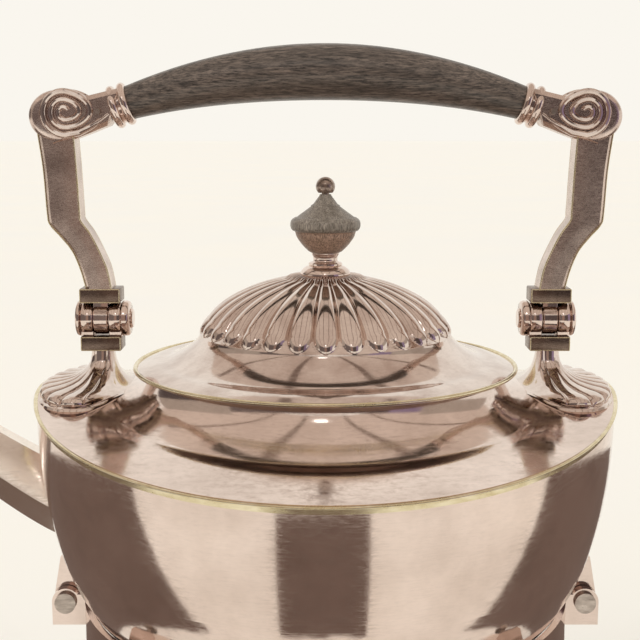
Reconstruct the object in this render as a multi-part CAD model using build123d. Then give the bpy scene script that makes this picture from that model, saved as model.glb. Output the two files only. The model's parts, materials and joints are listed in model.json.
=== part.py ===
"""Spirit kettle on a stand: a tilting kettle with a hinged lid and swing bail over a spirit lamp.

Millimetres, +Z up. Heights of the kettle are counted from its rim, heights of the stand from the table.
The kettle is drawn about its own axis; at the end every piece is moved along X by the same amount, so that
the origin lies on the table at the centre of the object's bounding box.
"""
from build123d import *
from math import asin, cos, pi, radians, sin, sqrt, tan
import os

# ---- driving dimensions: kettle body -------------------------------------------------------------
RIM_Z = 190.0            # level above the table from which the kettle's heights are counted
RIM_R = 90.0             # radius of the bowl at its rim
BOWL_WALL = 1.4
BOWL_DEPTH = 95.0        # from the rim down to the underside of the bowl
SIDE_DROP = 8.0          # straight upper part of the bowl's side
SIDE_ARC_R = 150.0       # long curve of the bowl's side
SIDE_ARC_END = 48.6      # depth at which the side curve turns into the bottom curve
PLATE_T = 1.4            # shoulder plate
RIDGE_R = 150.0          # the shoulder is a shallow ridge from one handle foot to the other
RIDGE_SLOPE = 7.2        # fall of the shoulder towards front and back, degrees
RIDGE_SINK = 1.2         # crest of the ridge below the level that heights are counted from
BAND_T = 1.2             # rolled band around the rim
BAND_UP = 0.5
BAND_DOWN = 2.2
NECK_LIP_R = RIM_R - 34.5
NECK_IN_R = NECK_LIP_R - 5.0
NECK_LIP_H = 2.2
NECK_TOP = 5.0           # seat of the lid, above the rim
NECK_WAIST_R = NECK_LIP_R - 2.3
NECK_FOOT_R = NECK_LIP_R + 9.5
NECK_FOOT_DROP = 12.0
NECK_HOLLOW = (0.28, 0.42)   # middle of the neck's hollow curve, as shares of its spread and height

# ---- spout ---------------------------------------------------------------------------------------
SPOUT_WALL = 1.3
SPOUT_ROOT_W = 25.0      # widest width of the spout at the bowl
SPOUT_TIP_W = 11.0
SPOUT_ROOT_H = 24.0
SPOUT_TIP_H = 12.0
# middle of the spout, as (distance from the kettle's axis, height above the rim), both as shares of the rim's radius
SPOUT_PATH = [(-0.8, -0.478), (-0.956, -0.422), (-1.133, -0.317), (-1.311, -0.189), (-1.467, -0.039), (-1.578, 0.111)]
SPOUT_TURN = [14, 22, 34, 42, 50, 56]     # direction of the spout at each of these points, degrees
# corners of the spout's cross-section, as shares of half its width and height
SPOUT_PANELS = [(0.32, 1), (1, -0.42), (0.78, -0.8), (0.32, -1)]

# ---- lid -----------------------------------------------------------------------------------------
LID_R = NECK_LIP_R + 4.9
LID_GAP = 0.3            # under the lid's edge when it is shut
LID_EDGE_H = 1.6
LID_WALL = 1.3
DOME_R = LID_R - 20.4
DOME_H = 20.2
DOME_FOOT = 14.0         # height of the dome's foot above the rim
FLANGE_MID = (LID_R - 13.9, 9.7)   # middle of the flange's curve: distance from the axis, height above the rim
BEZEL_WALL = 1.2
BEZEL_GAP = 0.5
BEZEL_DEPTH = 5.5

# ---- finial --------------------------------------------------------------------------------------
FINIAL_FLANGE_R = 8.2
FINIAL_DOME_R = 6.1
FINIAL_COLLAR_R = 4.55
FINIAL_NECK_R = 3.2
FINIAL_CUP_R = 4.2
FINIAL_STEM_H = 7.2
FINIAL_FLANGE_H = 0.5
FINIAL_DOME_H = 2.4      # top of the small dome above the lid's crown
FINIAL_COLLAR_H = (2.9, 3.8)   # lower and upper edge of the collar
FINIAL_NECK_H = 4.4
FINIAL_SINK = 2.0        # how far the base reaches down over the lid's curve
KNOB_FOOT_R = 4.7
KNOB_BOWL_R = 9.6
KNOB_BOWL_H = 7.4
KNOB_DISC_R = 11.0
KNOB_DISC_H = 3.9
KNOB_GROOVE_R = 4.5
KNOB_CONE_H = 3.9
KNOB_TOP_R = 2.3
KNOB_TOP_H = 3.1
BALL_R = 3.0
ROD_R = 1.2
ROD_FIT = 0.05
NUT_R = 3.2
NUT_H = 2.4
WASHER_R = 5.0
WASHER_T = 0.8

# ---- lid hinge -----------------------------------------------------------------------------------
LID_HINGE_Y = LID_R + 4.2
LID_HINGE_H = 7.2        # above the rim
LID_KNUCKLE_R = 2.3
LID_KNUCKLE_W = 6.0
LID_POST_W = 4.0
LID_PIN_R = 0.9
LID_LEAF_LENGTH = 9.0
SIDE_GAP = 0.2           # between neighbouring hinge knuckles
PIN_FIT = 0.05           # radial, every hinge pin

# ---- bail and its hinges -------------------------------------------------------------------------
BAIL_X = RIM_R - 19.35   # middle of each hinge from the kettle's axis
BAIL_PIN_H = 20.1        # hinge pin above the rim
BAIL_KNUCKLE_R = 5.0
HINGE_W = 12.8
MIDDLE_W = 4.6
HINGE_DEPTH = 9.0
BLOCK_H = 4.6
BLOCK_GAP = 0.3          # between a block and the knuckles that turn under it
BAIL_PIN_R = 1.6
HEAD_R = 5.6
OUTER_HEAD_T = 1.3
INNER_HEAD_T = 2.6
BOSS_R = 3.2
BOSS_T = 0.7
ARM_DEPTH = 7.0
ARM_BEVEL = 1.6
# edges of the cranked arm, as (distance outwards from the hinge's middle, height above the rim)
ARM_OUTER = [(4.15, 29.0), (5.95, 36.0), (8.35, 41.8), (11.75, 46.2), (14.85, 49.8), (15.65, 53.2), (16.45, 67.0),
             (17.95, 79.0)]
ARM_INNER = [(6.55, 79.0), (5.85, 67.0), (5.25, 51.6), (4.75, 50.3), (2.35, 47.4), (-0.45, 41.8), (-2.75, 36.0),
             (-4.05, 29.0)]
WEB_SHARE = 0.8          # depth of the webs that join the knuckles to their blocks, as a share of the knuckle
GRIP_ARC_R = 200.0       # the grip is bowed along this arc
GRIP_END_X = BAIL_X - 10.45
GRIP_AXIS_H = 87.4       # grip's axis at its ends, above the rim
GRIP_END_R = 5.2
GRIP_MID_R = 8.6
TENON_R = 3.6
TENON_LENGTH = 15.0
TENON_FIT = 0.05
FERRULE_LENGTH = 6.0
FERRULE_BEAD_R = 1.3
FERRULE_R = 5.4
SOCKET_LENGTH = 15.0
SOCKET_MOUTH_R = 6.4
SOCKET_ROOT_R = 7.6
SCROLL_R = 7.2
SCROLL_X = BAIL_X + 13.55
SCROLL_H = 82.5
SCROLL_WIDTH = 9.0
SCROLL_EYE_R = 3.2
SCROLL_EYE_T = 0.8
GRIP_PIN_R = 0.9
GRIP_PIN_FIT = 0.02
GRIP_PIN_AT = 9.5        # from the grip's end, along its tenon

# ---- handle feet ---------------------------------------------------------------------------------
FOOT_NECK_R = 3.5
FOOT_X = BAIL_X + 4.35   # middle of the foot's base
FOOT_HALF_X = 14.4
FOOT_HALF_Y = 27.0
# sections of the foot: height above the rim, distance out from the hinge's middle, half width in X and in Y
FOOT_SECTIONS = [(5.0, 0.2, 3.9, 4.3), (2.4, 1.5, 6.9, 9.5), (0.2, 3.85, 12.8, 23.0),
                 (-4.5, FOOT_X - BAIL_X, FOOT_HALF_X, FOOT_HALF_Y)]

# ---- kettle lugs and their pins on the stand -----------------------------------------------------
CRADLE_OUT_R = RIM_R - 12.5
LUG_X = CRADLE_OUT_R + 6.5
LUG_DROP = 72.0          # tilt pin below the rim
LUG_R = 4.5
LUG_W = 6.0
LUG_GAP = 0.4
LUG_OUTLINE = [(4.5, 0), (2, 14), (-4, 22), (-12, 22), (-4.5, 6), (-4.5, 0)]   # about the pin: outwards, up
CHEEK_T = 3.0
BRACKET_FLOOR = 2.5      # thickness under the lug, between the cheeks
TILT_PIN_R = 2.0
TILT_HEAD_R = 3.4
TILT_HEAD_T = 1.5

# ---- stand ---------------------------------------------------------------------------------------
CRADLE_IN_R = CRADLE_OUT_R - 7.5
CRADLE_TOP = 68.0        # below the rim
CRADLE_H = 12.0
SEAT_GAP = 0.3           # between the bowl and the cradle ring
LEG_COUNT = 4
LEG_W = 12.0
LEG_BEVEL = 1.4
# edges of a leg, as (distance outwards from the cradle ring, share of the height from the foot pad to the leg's top):
# the outer runs down, the inner up
LEG_OUTER = [(7, 1), (12, 0.861), (8.5, 0.635), (0, 0.3565), (2.5, 0.174), (16.5, 0)]
LEG_INNER = [(4.5, 0), (-6, 0.174), (-6.5, 0.3565), (1.5, 0.635), (3.5, 0.826), (-0.5, 0.922)]
SCREW_R = 1.5
SCREW_HEAD_R = 2.8
SCREW_HEAD_T = 1.4
SCREW_FIT = 0.05
SCREW_GRIP = 3.0         # length that a screw holds beyond the leg
FOOT_PAD_R = 9.5
FOOT_PAD_H = 7.0
FOOT_PAD_X = CRADLE_OUT_R + 10.5
LAMP_RING_R = 33.5
LAMP_RING_T = 3.5
LAMP_RING_Z = 42.0
LAMP_RING_H = 6.0
STRUT_W = 7.0
STRUT_H = 4.0

# ---- spirit lamp ---------------------------------------------------------------------------------
LAMP_R = 29.6
LAMP_WALL = 1.2
LAMP_BASE_Z = 14.0
LAMP_BASE_R = 22.0
LAMP_BELLY_H = 9.0       # height of the belly's curve above the base
LAMP_LIP_R = 33.0
LAMP_LIP_T = 1.4
LAMP_TOP_Z = 52.0
LAMP_GAP = 0.3
LAMP_SHOULDER_R = 12.5
COLLAR_R = 13.5
COLLAR_H = 5.0
WICK_TUBE_R = 4.2
WICK_TUBE_WALL = 0.8
WICK_TUBE_TOP = 64.0
WICK_TUBE_FOOT = 30.0
WICK_FOOT = 18.0
WICK_TIP = 66.5
WICK_FIT = 0.1
FILLER_X = 20.5
FILLER_R = 4.0
FILLER_H = 3.5
FILLER_CAP_R = 5.6
FILLER_CAP_T = 1.6       # thickness of the cap's top
FILLER_FIT = 0.1
SNUFFER_R = 7.6
SNUFFER_WALL = 0.9
SNUFFER_H = 7.0
SNUFFER_SKIRT = 2.0      # overlap of the snuffer over the wick tube
SNUFFER_HINGE_X = 14.5
SNUFFER_HINGE_DROP = 1.0 # hinge below the snuffer's mouth
SNUFFER_KNUCKLE_R = 2.0
SNUFFER_PIN_R = 0.8
SNUFFER_W = 4.0

BIG = 400.0


def ridge_drop(y):
    """Fall of the shoulder's surface below its crest at a distance y from the crest."""
    bend = RIDGE_R * sin(radians(RIDGE_SLOPE))
    if abs(y) <= bend:
        return RIDGE_R - sqrt(RIDGE_R**2 - y**2)
    return RIDGE_R * (1 - cos(radians(RIDGE_SLOPE))) + (abs(y) - bend) * tan(radians(RIDGE_SLOPE))


def below_ridge(raise_by=0.0):
    """Everything under the ridge-shaped shoulder surface, lifted by raise_by."""
    bend = RIDGE_R * sin(radians(RIDGE_SLOPE))
    top = RIM_Z - RIDGE_SINK + raise_by
    far = 2 * RIM_R
    low = RIM_Z - BIG / 2
    left, right = (-bend, top - ridge_drop(bend)), (bend, top - ridge_drop(bend))
    outline = [
        ThreePointArc(left, (0, top), right),
        Line(right, (far, top - ridge_drop(far))),
        Line((far, top - ridge_drop(far)), (far, low)),
        Line((far, low), (-far, low)),
        Line((-far, low), (-far, top - ridge_drop(far))),
        Line((-far, top - ridge_drop(far)), left),
    ]
    face = make_face([Plane.YZ * edge for edge in outline])
    return extrude(face, BIG / 2, both=True)


def turned(outline):
    """A solid of revolution about the kettle's axis from a closed (radius, height) outline."""
    face = make_face([Plane.XZ * edge for edge in outline])
    return revolve(face, Axis.Z)


def polygon_turned(points):
    """A turned solid whose outline has straight sides only."""
    face = make_face(Plane.XZ * Polyline(*points, close=True))
    return revolve(face, Axis.Z)


def cylinder(radius, length, start, direction):
    """A cylinder from a start point along a direction."""
    return extrude(Plane(origin=start, z_dir=direction) * Circle(radius), length)


def box(low, high):
    """A box between two opposite corners."""
    size = [b - a for a, b in zip(low, high)]
    middle = [(a + b) / 2 for a, b in zip(low, high)]
    return Pos(*middle) * Box(*size)


# ---- kettle body ---------------------------------------------------------------------------------
def bowl_solid(inset):
    """The full bowl as a solid, its outside moved inwards by inset."""
    side_center = (RIM_R - SIDE_ARC_R, -SIDE_DROP)
    turn = asin((SIDE_ARC_END - SIDE_DROP) / SIDE_ARC_R)
    join_r = side_center[0] + SIDE_ARC_R * cos(turn)
    under_r = (BOWL_DEPTH - SIDE_ARC_END) / (1 - sin(turn))
    under_center = (join_r - under_r * cos(turn), under_r * sin(turn) - SIDE_ARC_END)

    def on_arc(center, radius, angle):
        return (center[0] + radius * cos(angle), RIM_Z + center[1] + radius * sin(angle))

    side, under = SIDE_ARC_R - inset, under_r - inset
    top = (RIM_R - inset, RIM_Z + NECK_TOP)
    floor_z = RIM_Z - BOWL_DEPTH + inset
    start = on_arc(side_center, side, 0)
    join = on_arc(side_center, side, -turn)
    foot = (under_center[0], floor_z)
    return turned([
        Line((0, top[1]), top),
        Line(top, start),
        ThreePointArc(start, on_arc(side_center, side, -turn / 2), join),
        ThreePointArc(join, on_arc(under_center, under, (-turn - pi / 2) / 2), foot),
        Line(foot, (0, floor_z)),
        Line((0, floor_z), (0, top[1])),
    ])


def bowl():
    shell = (bowl_solid(0) - bowl_solid(BOWL_WALL)) & below_ridge(-PLATE_T)
    return shell - spout_loft(SPOUT_WALL)


def shoulder():
    plate = cylinder(RIM_R, BIG, (0, 0, RIM_Z - BIG / 2), (0, 0, 1)) & (below_ridge() - below_ridge(-PLATE_T))
    return plate - cylinder(NECK_IN_R, BIG, (0, 0, RIM_Z - BIG / 2), (0, 0, 1))


def rim_band():
    tube = cylinder(RIM_R + BAND_T, BIG, (0, 0, RIM_Z - BIG / 2), (0, 0, 1))
    tube -= cylinder(RIM_R, BIG, (0, 0, RIM_Z - BIG / 2), (0, 0, 1))
    return tube & (below_ridge(BAND_UP) - below_ridge(-BAND_DOWN))


def neck_ring():
    top, lip_low = RIM_Z + NECK_TOP, RIM_Z + NECK_TOP - NECK_LIP_H
    foot_z = RIM_Z - NECK_FOOT_DROP
    waist = (NECK_WAIST_R, lip_low)
    foot = (NECK_FOOT_R, foot_z)
    out_share, up_share = NECK_HOLLOW
    hollow = (NECK_WAIST_R + out_share * (NECK_FOOT_R - NECK_WAIST_R), foot_z + up_share * (lip_low - foot_z))
    blank = turned([
        Line((NECK_IN_R, foot_z), (NECK_IN_R, top)),
        Line((NECK_IN_R, top), (NECK_LIP_R, top)),
        Line((NECK_LIP_R, top), (NECK_LIP_R, lip_low)),
        Line((NECK_LIP_R, lip_low), waist),
        ThreePointArc(waist, hollow, foot),
        Line(foot, (NECK_IN_R, foot_z)),
    ])
    return blank - below_ridge()


# ---- spout ---------------------------------------------------------------------------------------
def spout_section(index, inset):
    """One panelled cross-section of the spout, square to its path."""
    share = index / (len(SPOUT_PATH) - 1)
    half_w = (SPOUT_ROOT_W + (SPOUT_TIP_W - SPOUT_ROOT_W) * share) / 2 - inset
    half_h = (SPOUT_ROOT_H + (SPOUT_TIP_H - SPOUT_ROOT_H) * share) / 2 - inset
    x, z = (RIM_R * part for part in SPOUT_PATH[index])
    turn = radians(SPOUT_TURN[index])
    plane = Plane(origin=(x, 0, RIM_Z + z), x_dir=(0, 1, 0), z_dir=(-cos(turn), 0, sin(turn)))
    right = [(half_w * u, half_h * v) for u, v in SPOUT_PANELS]
    left = [(-u, v) for u, v in reversed(right)]
    return plane * make_face(Polyline(*right, *left, close=True))


def spout_loft(inset):
    return loft([spout_section(i, inset) for i in range(len(SPOUT_PATH))])


def spout():
    return spout_loft(0) - spout_loft(SPOUT_WALL) - bowl_solid(0)


# ---- lid -----------------------------------------------------------------------------------------
def lid_solid(inset):
    """The lid as a full solid, its upper surface lowered by inset."""
    edge_z = RIM_Z + NECK_TOP + LID_GAP
    crown = RIM_Z + DOME_FOOT + DOME_H - inset
    dome_r, dome_h = DOME_R - inset, DOME_H - inset
    foot = (dome_r, RIM_Z + DOME_FOOT - inset / 2)
    rise = crown - foot[1]
    dome = [(dome_r * cos(k * pi / 8), foot[1] + rise * sin(k * pi / 8)) for k in (1, 2, 3)]
    edge_top = (LID_R, edge_z + LID_EDGE_H - inset)
    middle = (FLANGE_MID[0] - inset / 2, RIM_Z + FLANGE_MID[1] - inset)
    low = edge_z - inset
    return turned([
        Line((0, low), (LID_R, low)),
        Line((LID_R, low), edge_top),
        ThreePointArc(edge_top, middle, foot),
        Spline(foot, *dome, (0, crown), tangents=[(0, 1), (-1, 0)]),
        Line((0, crown), (0, low)),
    ])


def lid_shell():
    shell = lid_solid(0) - lid_solid(LID_WALL)
    shell &= cylinder(LID_R, BIG, (0, 0, RIM_Z + NECK_TOP + LID_GAP), (0, 0, 1))
    return shell - rod_hole()


def lid_bezel():
    """Ring soldered inside the lid that drops into the neck."""
    outer = NECK_IN_R - BEZEL_GAP
    seat = RIM_Z + NECK_TOP + LID_GAP
    ring = cylinder(outer, BIG, (0, 0, seat - BEZEL_DEPTH), (0, 0, 1))
    ring -= cylinder(outer - BEZEL_WALL, BIG, (0, 0, seat - BEZEL_DEPTH), (0, 0, 1))
    return ring & (lid_solid(LID_WALL) + box((-LID_R, -LID_R, seat - BIG / 2), (LID_R, LID_R, seat)))


# ---- finial --------------------------------------------------------------------------------------
def rod_hole():
    """Bore for the rod that ties the finial to the lid."""
    return cylinder(ROD_R + ROD_FIT, BIG, (0, 0, RIM_Z), (0, 0, 1))


def stem_z():
    return RIM_Z + DOME_FOOT + DOME_H


def knob_z():
    return stem_z() + FINIAL_STEM_H


def knob_levels():
    """Heights of the knob's foot, disc, cone, groove and top."""
    foot = knob_z()
    disc = foot + KNOB_BOWL_H
    cone = disc + KNOB_DISC_H
    groove = cone + KNOB_CONE_H
    return foot, disc, cone, groove, groove + KNOB_TOP_H


def finial_base():
    """Turned stem between the lid and the knob, seated on the lid's curve."""
    foot = stem_z()
    cup_z, low = foot + FINIAL_STEM_H, foot - FINIAL_SINK
    flange_z, dome_z, neck_z = foot + FINIAL_FLANGE_H, foot + FINIAL_DOME_H, foot + FINIAL_NECK_H
    collar_low, collar_top = (foot + h for h in FINIAL_COLLAR_H)
    dome_foot = (FINIAL_DOME_R, flange_z + 0.2)
    throat = (FINIAL_NECK_R + 0.4, dome_z)
    blank = turned([
        Line((0, low), (FINIAL_FLANGE_R, low)),
        Line((FINIAL_FLANGE_R, low), (FINIAL_FLANGE_R, flange_z)),
        Line((FINIAL_FLANGE_R, flange_z), dome_foot),
        ThreePointArc(dome_foot, (FINIAL_DOME_R - 0.7, dome_z - 0.5), throat),
        Line(throat, (FINIAL_COLLAR_R, collar_low)),
        Line((FINIAL_COLLAR_R, collar_low), (FINIAL_COLLAR_R, collar_top)),
        Line((FINIAL_COLLAR_R, collar_top), (FINIAL_NECK_R, neck_z)),
        ThreePointArc((FINIAL_NECK_R, neck_z), (FINIAL_NECK_R, neck_z + 1.2), (FINIAL_CUP_R, cup_z)),
        Line((FINIAL_CUP_R, cup_z), (0, cup_z)),
        Line((0, cup_z), (0, low)),
    ])
    return blank - lid_solid(0) - rod_hole()


def finial_knob():
    foot, disc, cone, groove, top = knob_levels()
    mid = disc + KNOB_DISC_H / 2
    blank = turned([
        Line((0, foot), (KNOB_FOOT_R, foot)),
        ThreePointArc((KNOB_FOOT_R, foot), (KNOB_BOWL_R - 1.4, foot + 2.8), (KNOB_BOWL_R, disc)),
        ThreePointArc((KNOB_BOWL_R, disc), (KNOB_DISC_R, mid), (KNOB_BOWL_R, cone)),
        ThreePointArc((KNOB_BOWL_R, cone), (KNOB_GROOVE_R + 2.0, cone + 1.5), (KNOB_GROOVE_R, groove)),
        Line((KNOB_GROOVE_R, groove), (KNOB_TOP_R + 0.9, groove + 0.5)),
        ThreePointArc((KNOB_TOP_R + 0.9, groove + 0.5), (KNOB_TOP_R + 0.7, groove + 1.9), (KNOB_TOP_R, top)),
        Line((KNOB_TOP_R, top), (0, top)),
        Line((0, top), (0, foot)),
    ])
    return blank - rod_hole()


def finial_rod():
    """Metal ball on top of the knob, with the rod that ties knob, stem and lid together."""
    top = knob_levels()[-1]
    low = stem_z() - LID_WALL - WASHER_T - NUT_H - 1.0
    ball = Pos(0, 0, top + sqrt(BALL_R**2 - KNOB_TOP_R**2)) * Sphere(BALL_R)
    ball -= cylinder(BIG, BALL_R, (0, 0, top - BALL_R), (0, 0, 1))
    return ball + cylinder(ROD_R, top - low, (0, 0, low), (0, 0, 1))


def finial_washer():
    low = stem_z() - LID_WALL - WASHER_T
    disc = cylinder(WASHER_R, WASHER_T + 1, (0, 0, low), (0, 0, 1)) & lid_solid(LID_WALL)
    return disc - rod_hole()


def finial_nut():
    low = stem_z() - LID_WALL - WASHER_T - NUT_H
    nut = Pos(0, 0, low) * extrude(RegularPolygon(NUT_R, 6), NUT_H)
    return nut - cylinder(ROD_R, BIG, (0, 0, RIM_Z), (0, 0, 1))


# ---- lid hinge -----------------------------------------------------------------------------------
def lid_pin_axis():
    return (LID_HINGE_Y, RIM_Z + LID_HINGE_H)


def lid_knuckle(x0, x1, radius):
    y, z = lid_pin_axis()
    return cylinder(radius, x1 - x0, (x0, y, z), (1, 0, 0))


def lid_hinge_leaf():
    y, z = lid_pin_axis()
    half = LID_KNUCKLE_W / 2
    tab_top = RIM_Z + NECK_TOP + LID_GAP + LID_EDGE_H + 1.2
    tab = box((-half, LID_R - LID_LEAF_LENGTH, RIM_Z + NECK_TOP + LID_GAP), (half, y, tab_top + 1.0))
    tab -= lid_solid(0)
    leaf = tab + lid_knuckle(-half, half, LID_KNUCKLE_R)
    return leaf - lid_knuckle(-half, half, LID_PIN_R + PIN_FIT)


def lid_hinge_post():
    """Two-knuckle post on the shoulder that carries the lid's hinge pin."""
    y, z = lid_pin_axis()
    inner = LID_KNUCKLE_W / 2 + SIDE_GAP
    outer = inner + LID_POST_W
    near, far = y - LID_KNUCKLE_R + 0.8, y + LID_KNUCKLE_R
    foot = box((-outer, near, RIM_Z - NECK_FOOT_DROP), (outer, far, z - LID_KNUCKLE_R - 0.6))
    post = foot - below_ridge() - neck_clear()
    for x0, x1 in ((-outer, -inner), (inner, outer)):
        post += box((x0, near, z - LID_KNUCKLE_R - 1), (x1, far, z))
        post += lid_knuckle(x0, x1, LID_KNUCKLE_R)
    return post - lid_knuckle(-outer, outer, LID_PIN_R + PIN_FIT)


def neck_clear():
    """The neck's full bulk, which a piece standing beside it must not enter."""
    return cylinder(NECK_IN_R, BIG, (0, 0, RIM_Z - BIG / 2), (0, 0, 1)) + neck_ring()


def lid_hinge_pin():
    outer = LID_KNUCKLE_W / 2 + SIDE_GAP + LID_POST_W
    pin = lid_knuckle(-outer - 0.3, outer + 0.3, LID_PIN_R)
    for x0, x1 in ((-outer - 1.0, -outer), (outer, outer + 1.0)):
        pin += lid_knuckle(x0, x1, LID_PIN_R + 0.6)
    return pin


# ---- bail hinges ---------------------------------------------------------------------------------
def bail_cylinder(x0, x1, radius, side):
    """A cylinder on the bail's pin axis, from x0 to x1 along it, counted from the hinge's middle outwards."""
    start = (side * (BAIL_X + x0), 0, RIM_Z + BAIL_PIN_H)
    return cylinder(radius, x1 - x0, start, (side, 0, 0))


def hinge_block(low, high, side, half):
    """A bevelled block across the hinge, or a narrower web, between two heights about the pin."""
    x0, x1 = sorted((side * (BAIL_X - half), side * (BAIL_X + half)))
    z = RIM_Z + BAIL_PIN_H
    return box((x0, -HINGE_DEPTH / 2, z + low), (x1, HINGE_DEPTH / 2, z + high))


def foot_flare(side):
    """The flared foot that spreads the hinge's load over the shoulder."""
    neck_top = BAIL_PIN_H - BAIL_KNUCKLE_R - BLOCK_GAP - BLOCK_H + 0.5
    sections = [(neck_top, 0, FOOT_NECK_R, FOOT_NECK_R), *FOOT_SECTIONS]
    return loft([Pos(side * (BAIL_X + out), 0, RIM_Z + z) * Ellipse(rx, ry) for z, out, rx, ry in sections])


def handle_foot(side):
    reach = BAIL_KNUCKLE_R + BLOCK_GAP
    foot = foot_flare(side) - below_ridge()
    foot += hinge_block(-reach - BLOCK_H, -reach, side, HINGE_W / 2)
    inner = MIDDLE_W / 2 + SIDE_GAP
    z, web = RIM_Z + BAIL_PIN_H, BAIL_KNUCKLE_R * WEB_SHARE
    for x0, x1 in ((-HINGE_W / 2, -inner), (inner, HINGE_W / 2)):
        foot += bail_cylinder(x0, x1, BAIL_KNUCKLE_R, side)
        low_x, high_x = sorted((side * (BAIL_X + x0), side * (BAIL_X + x1)))
        foot += box((low_x, -web, z - reach - 0.5), (high_x, web, z - 2))
    return foot - bail_cylinder(-HINGE_W, HINGE_W, BAIL_PIN_R + PIN_FIT, side)


def hinge_pin(side):
    half = HINGE_W / 2 + 0.1
    pin = bail_cylinder(-half - 0.1, half + 0.1, BAIL_PIN_R, side)
    pin += bail_cylinder(half, half + OUTER_HEAD_T, HEAD_R, side)
    pin += bail_cylinder(-half - INNER_HEAD_T, -half, HEAD_R, side)
    return pin + bail_cylinder(-half - INNER_HEAD_T - BOSS_T, -half - INNER_HEAD_T + 0.1, BOSS_R, side)


# ---- bail ----------------------------------------------------------------------------------------
def arm_strap(side):
    """The flat cranked strap of the bail's arm, bevelled along both faces."""
    outer = [(side * (BAIL_X + out), RIM_Z + up) for out, up in ARM_OUTER]
    inner = [(side * (BAIL_X + out), RIM_Z + up) for out, up in ARM_INNER]
    edges = [
        Spline(*outer[:5]), Line(outer[4], outer[5]), Spline(*outer[5:]),
        Line(outer[-1], inner[0]),
        Spline(*inner[:3]), Line(inner[2], inner[3]), Spline(*inner[3:]),
        Line(inner[-1], outer[0]),
    ]
    face = make_face([Plane.XZ * edge for edge in edges])
    strap = extrude(face, ARM_DEPTH / 2, both=True)
    long_edges = [e for e in strap.edges() if abs(e.center().Y) > ARM_DEPTH / 2 - 0.01 and e.length > 3]
    return chamfer(long_edges, ARM_BEVEL)


def grip_plane(side, along):
    """Plane square to the grip's end, its normal pointing out along the tenon."""
    slope = asin(GRIP_END_X / GRIP_ARC_R)
    x = GRIP_END_X + along * cos(slope)
    z = RIM_Z + GRIP_AXIS_H - along * sin(slope)
    return Plane(origin=(side * x, 0, z), x_dir=(0, 1, 0), z_dir=(side * cos(slope), 0, -sin(slope)))


def along_grip(side, start, length, radius):
    return extrude(grip_plane(side, start) * Circle(radius), length)


def grip_pin_axis(side):
    return grip_plane(side, GRIP_PIN_AT).origin


def grip_pin_hole(side, radius, reach):
    axis = grip_pin_axis(side)
    return cylinder(radius, 2 * reach, (axis.X, -reach, axis.Z), (0, 1, 0))


def arm_socket(side):
    plane_a, plane_b = grip_plane(side, FERRULE_LENGTH), grip_plane(side, FERRULE_LENGTH + SOCKET_LENGTH)
    return loft([plane_a * Circle(SOCKET_MOUTH_R), plane_b * Circle(SOCKET_ROOT_R)])


def arm_scroll(side):
    middle = (side * SCROLL_X, 0, RIM_Z + SCROLL_H)
    drum = cylinder(SCROLL_R, SCROLL_WIDTH, (middle[0], -SCROLL_WIDTH / 2, middle[2]), (0, 1, 0))
    eye_reach = SCROLL_WIDTH / 2 + SCROLL_EYE_T
    return drum + cylinder(SCROLL_EYE_R, 2 * eye_reach, (middle[0], -eye_reach, middle[2]), (0, 1, 0))


def bail_arm(side):
    reach = BAIL_KNUCKLE_R + BLOCK_GAP
    arm = arm_strap(side) + arm_scroll(side) + arm_socket(side)
    arm += hinge_block(reach, reach + BLOCK_H, side, HINGE_W / 2)
    arm += bail_cylinder(-MIDDLE_W / 2, MIDDLE_W / 2, BAIL_KNUCKLE_R, side)
    x0, x1 = sorted((side * (BAIL_X - MIDDLE_W / 2), side * (BAIL_X + MIDDLE_W / 2)))
    z, web = RIM_Z + BAIL_PIN_H, BAIL_KNUCKLE_R * WEB_SHARE
    arm += box((x0, -web, z + 2), (x1, web, z + reach + 0.5))
    arm -= bail_cylinder(-HINGE_W, HINGE_W, BAIL_PIN_R + PIN_FIT, side)
    arm -= along_grip(side, 0, TENON_LENGTH + 0.5, TENON_R + TENON_FIT)
    return arm - grip_pin_hole(side, GRIP_PIN_R + GRIP_PIN_FIT, BIG / 4)


def ferrule(side):
    """Double-beaded ring between the socket and the grip."""
    tube = along_grip(side, 0, FERRULE_LENGTH, FERRULE_R)
    for at in (FERRULE_BEAD_R, FERRULE_LENGTH - FERRULE_BEAD_R):
        tube += grip_plane(side, at) * Torus(FERRULE_R, FERRULE_BEAD_R)
    return tube - along_grip(side, -1, FERRULE_LENGTH + 2, TENON_R + TENON_FIT)


def grip():
    """Bowed wooden grip, thickest in the middle, with a round tenon at each end."""
    slope = asin(GRIP_END_X / GRIP_ARC_R)
    center_z = RIM_Z + GRIP_AXIS_H - GRIP_ARC_R * cos(slope)
    steps = 8
    rings = []
    for i in range(steps + 1):
        turn = -slope + 2 * slope * i / steps
        radius = GRIP_END_R + (GRIP_MID_R - GRIP_END_R) * cos(turn / slope * pi / 2)
        origin = (GRIP_ARC_R * sin(turn), 0, center_z + GRIP_ARC_R * cos(turn))
        plane = Plane(origin=origin, x_dir=(0, 1, 0), z_dir=(cos(turn), 0, -sin(turn)))
        rings.append(plane * Circle(radius))
    bar = loft(rings)
    for side in (-1, 1):
        bar += along_grip(side, -1, TENON_LENGTH + 1, TENON_R)
        bar -= grip_pin_hole(side, GRIP_PIN_R + GRIP_PIN_FIT, BIG / 4)
    return bar


def grip_pins():
    reach = SOCKET_MOUTH_R + 0.6
    return Compound(children=[grip_pin_hole(side, GRIP_PIN_R, reach) for side in (-1, 1)])


# ---- kettle lugs and stand brackets --------------------------------------------------------------
def lug_pin(side, radius, reach):
    return cylinder(radius, 2 * reach, (side * LUG_X, -reach, RIM_Z - LUG_DROP), (0, 1, 0))


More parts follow.
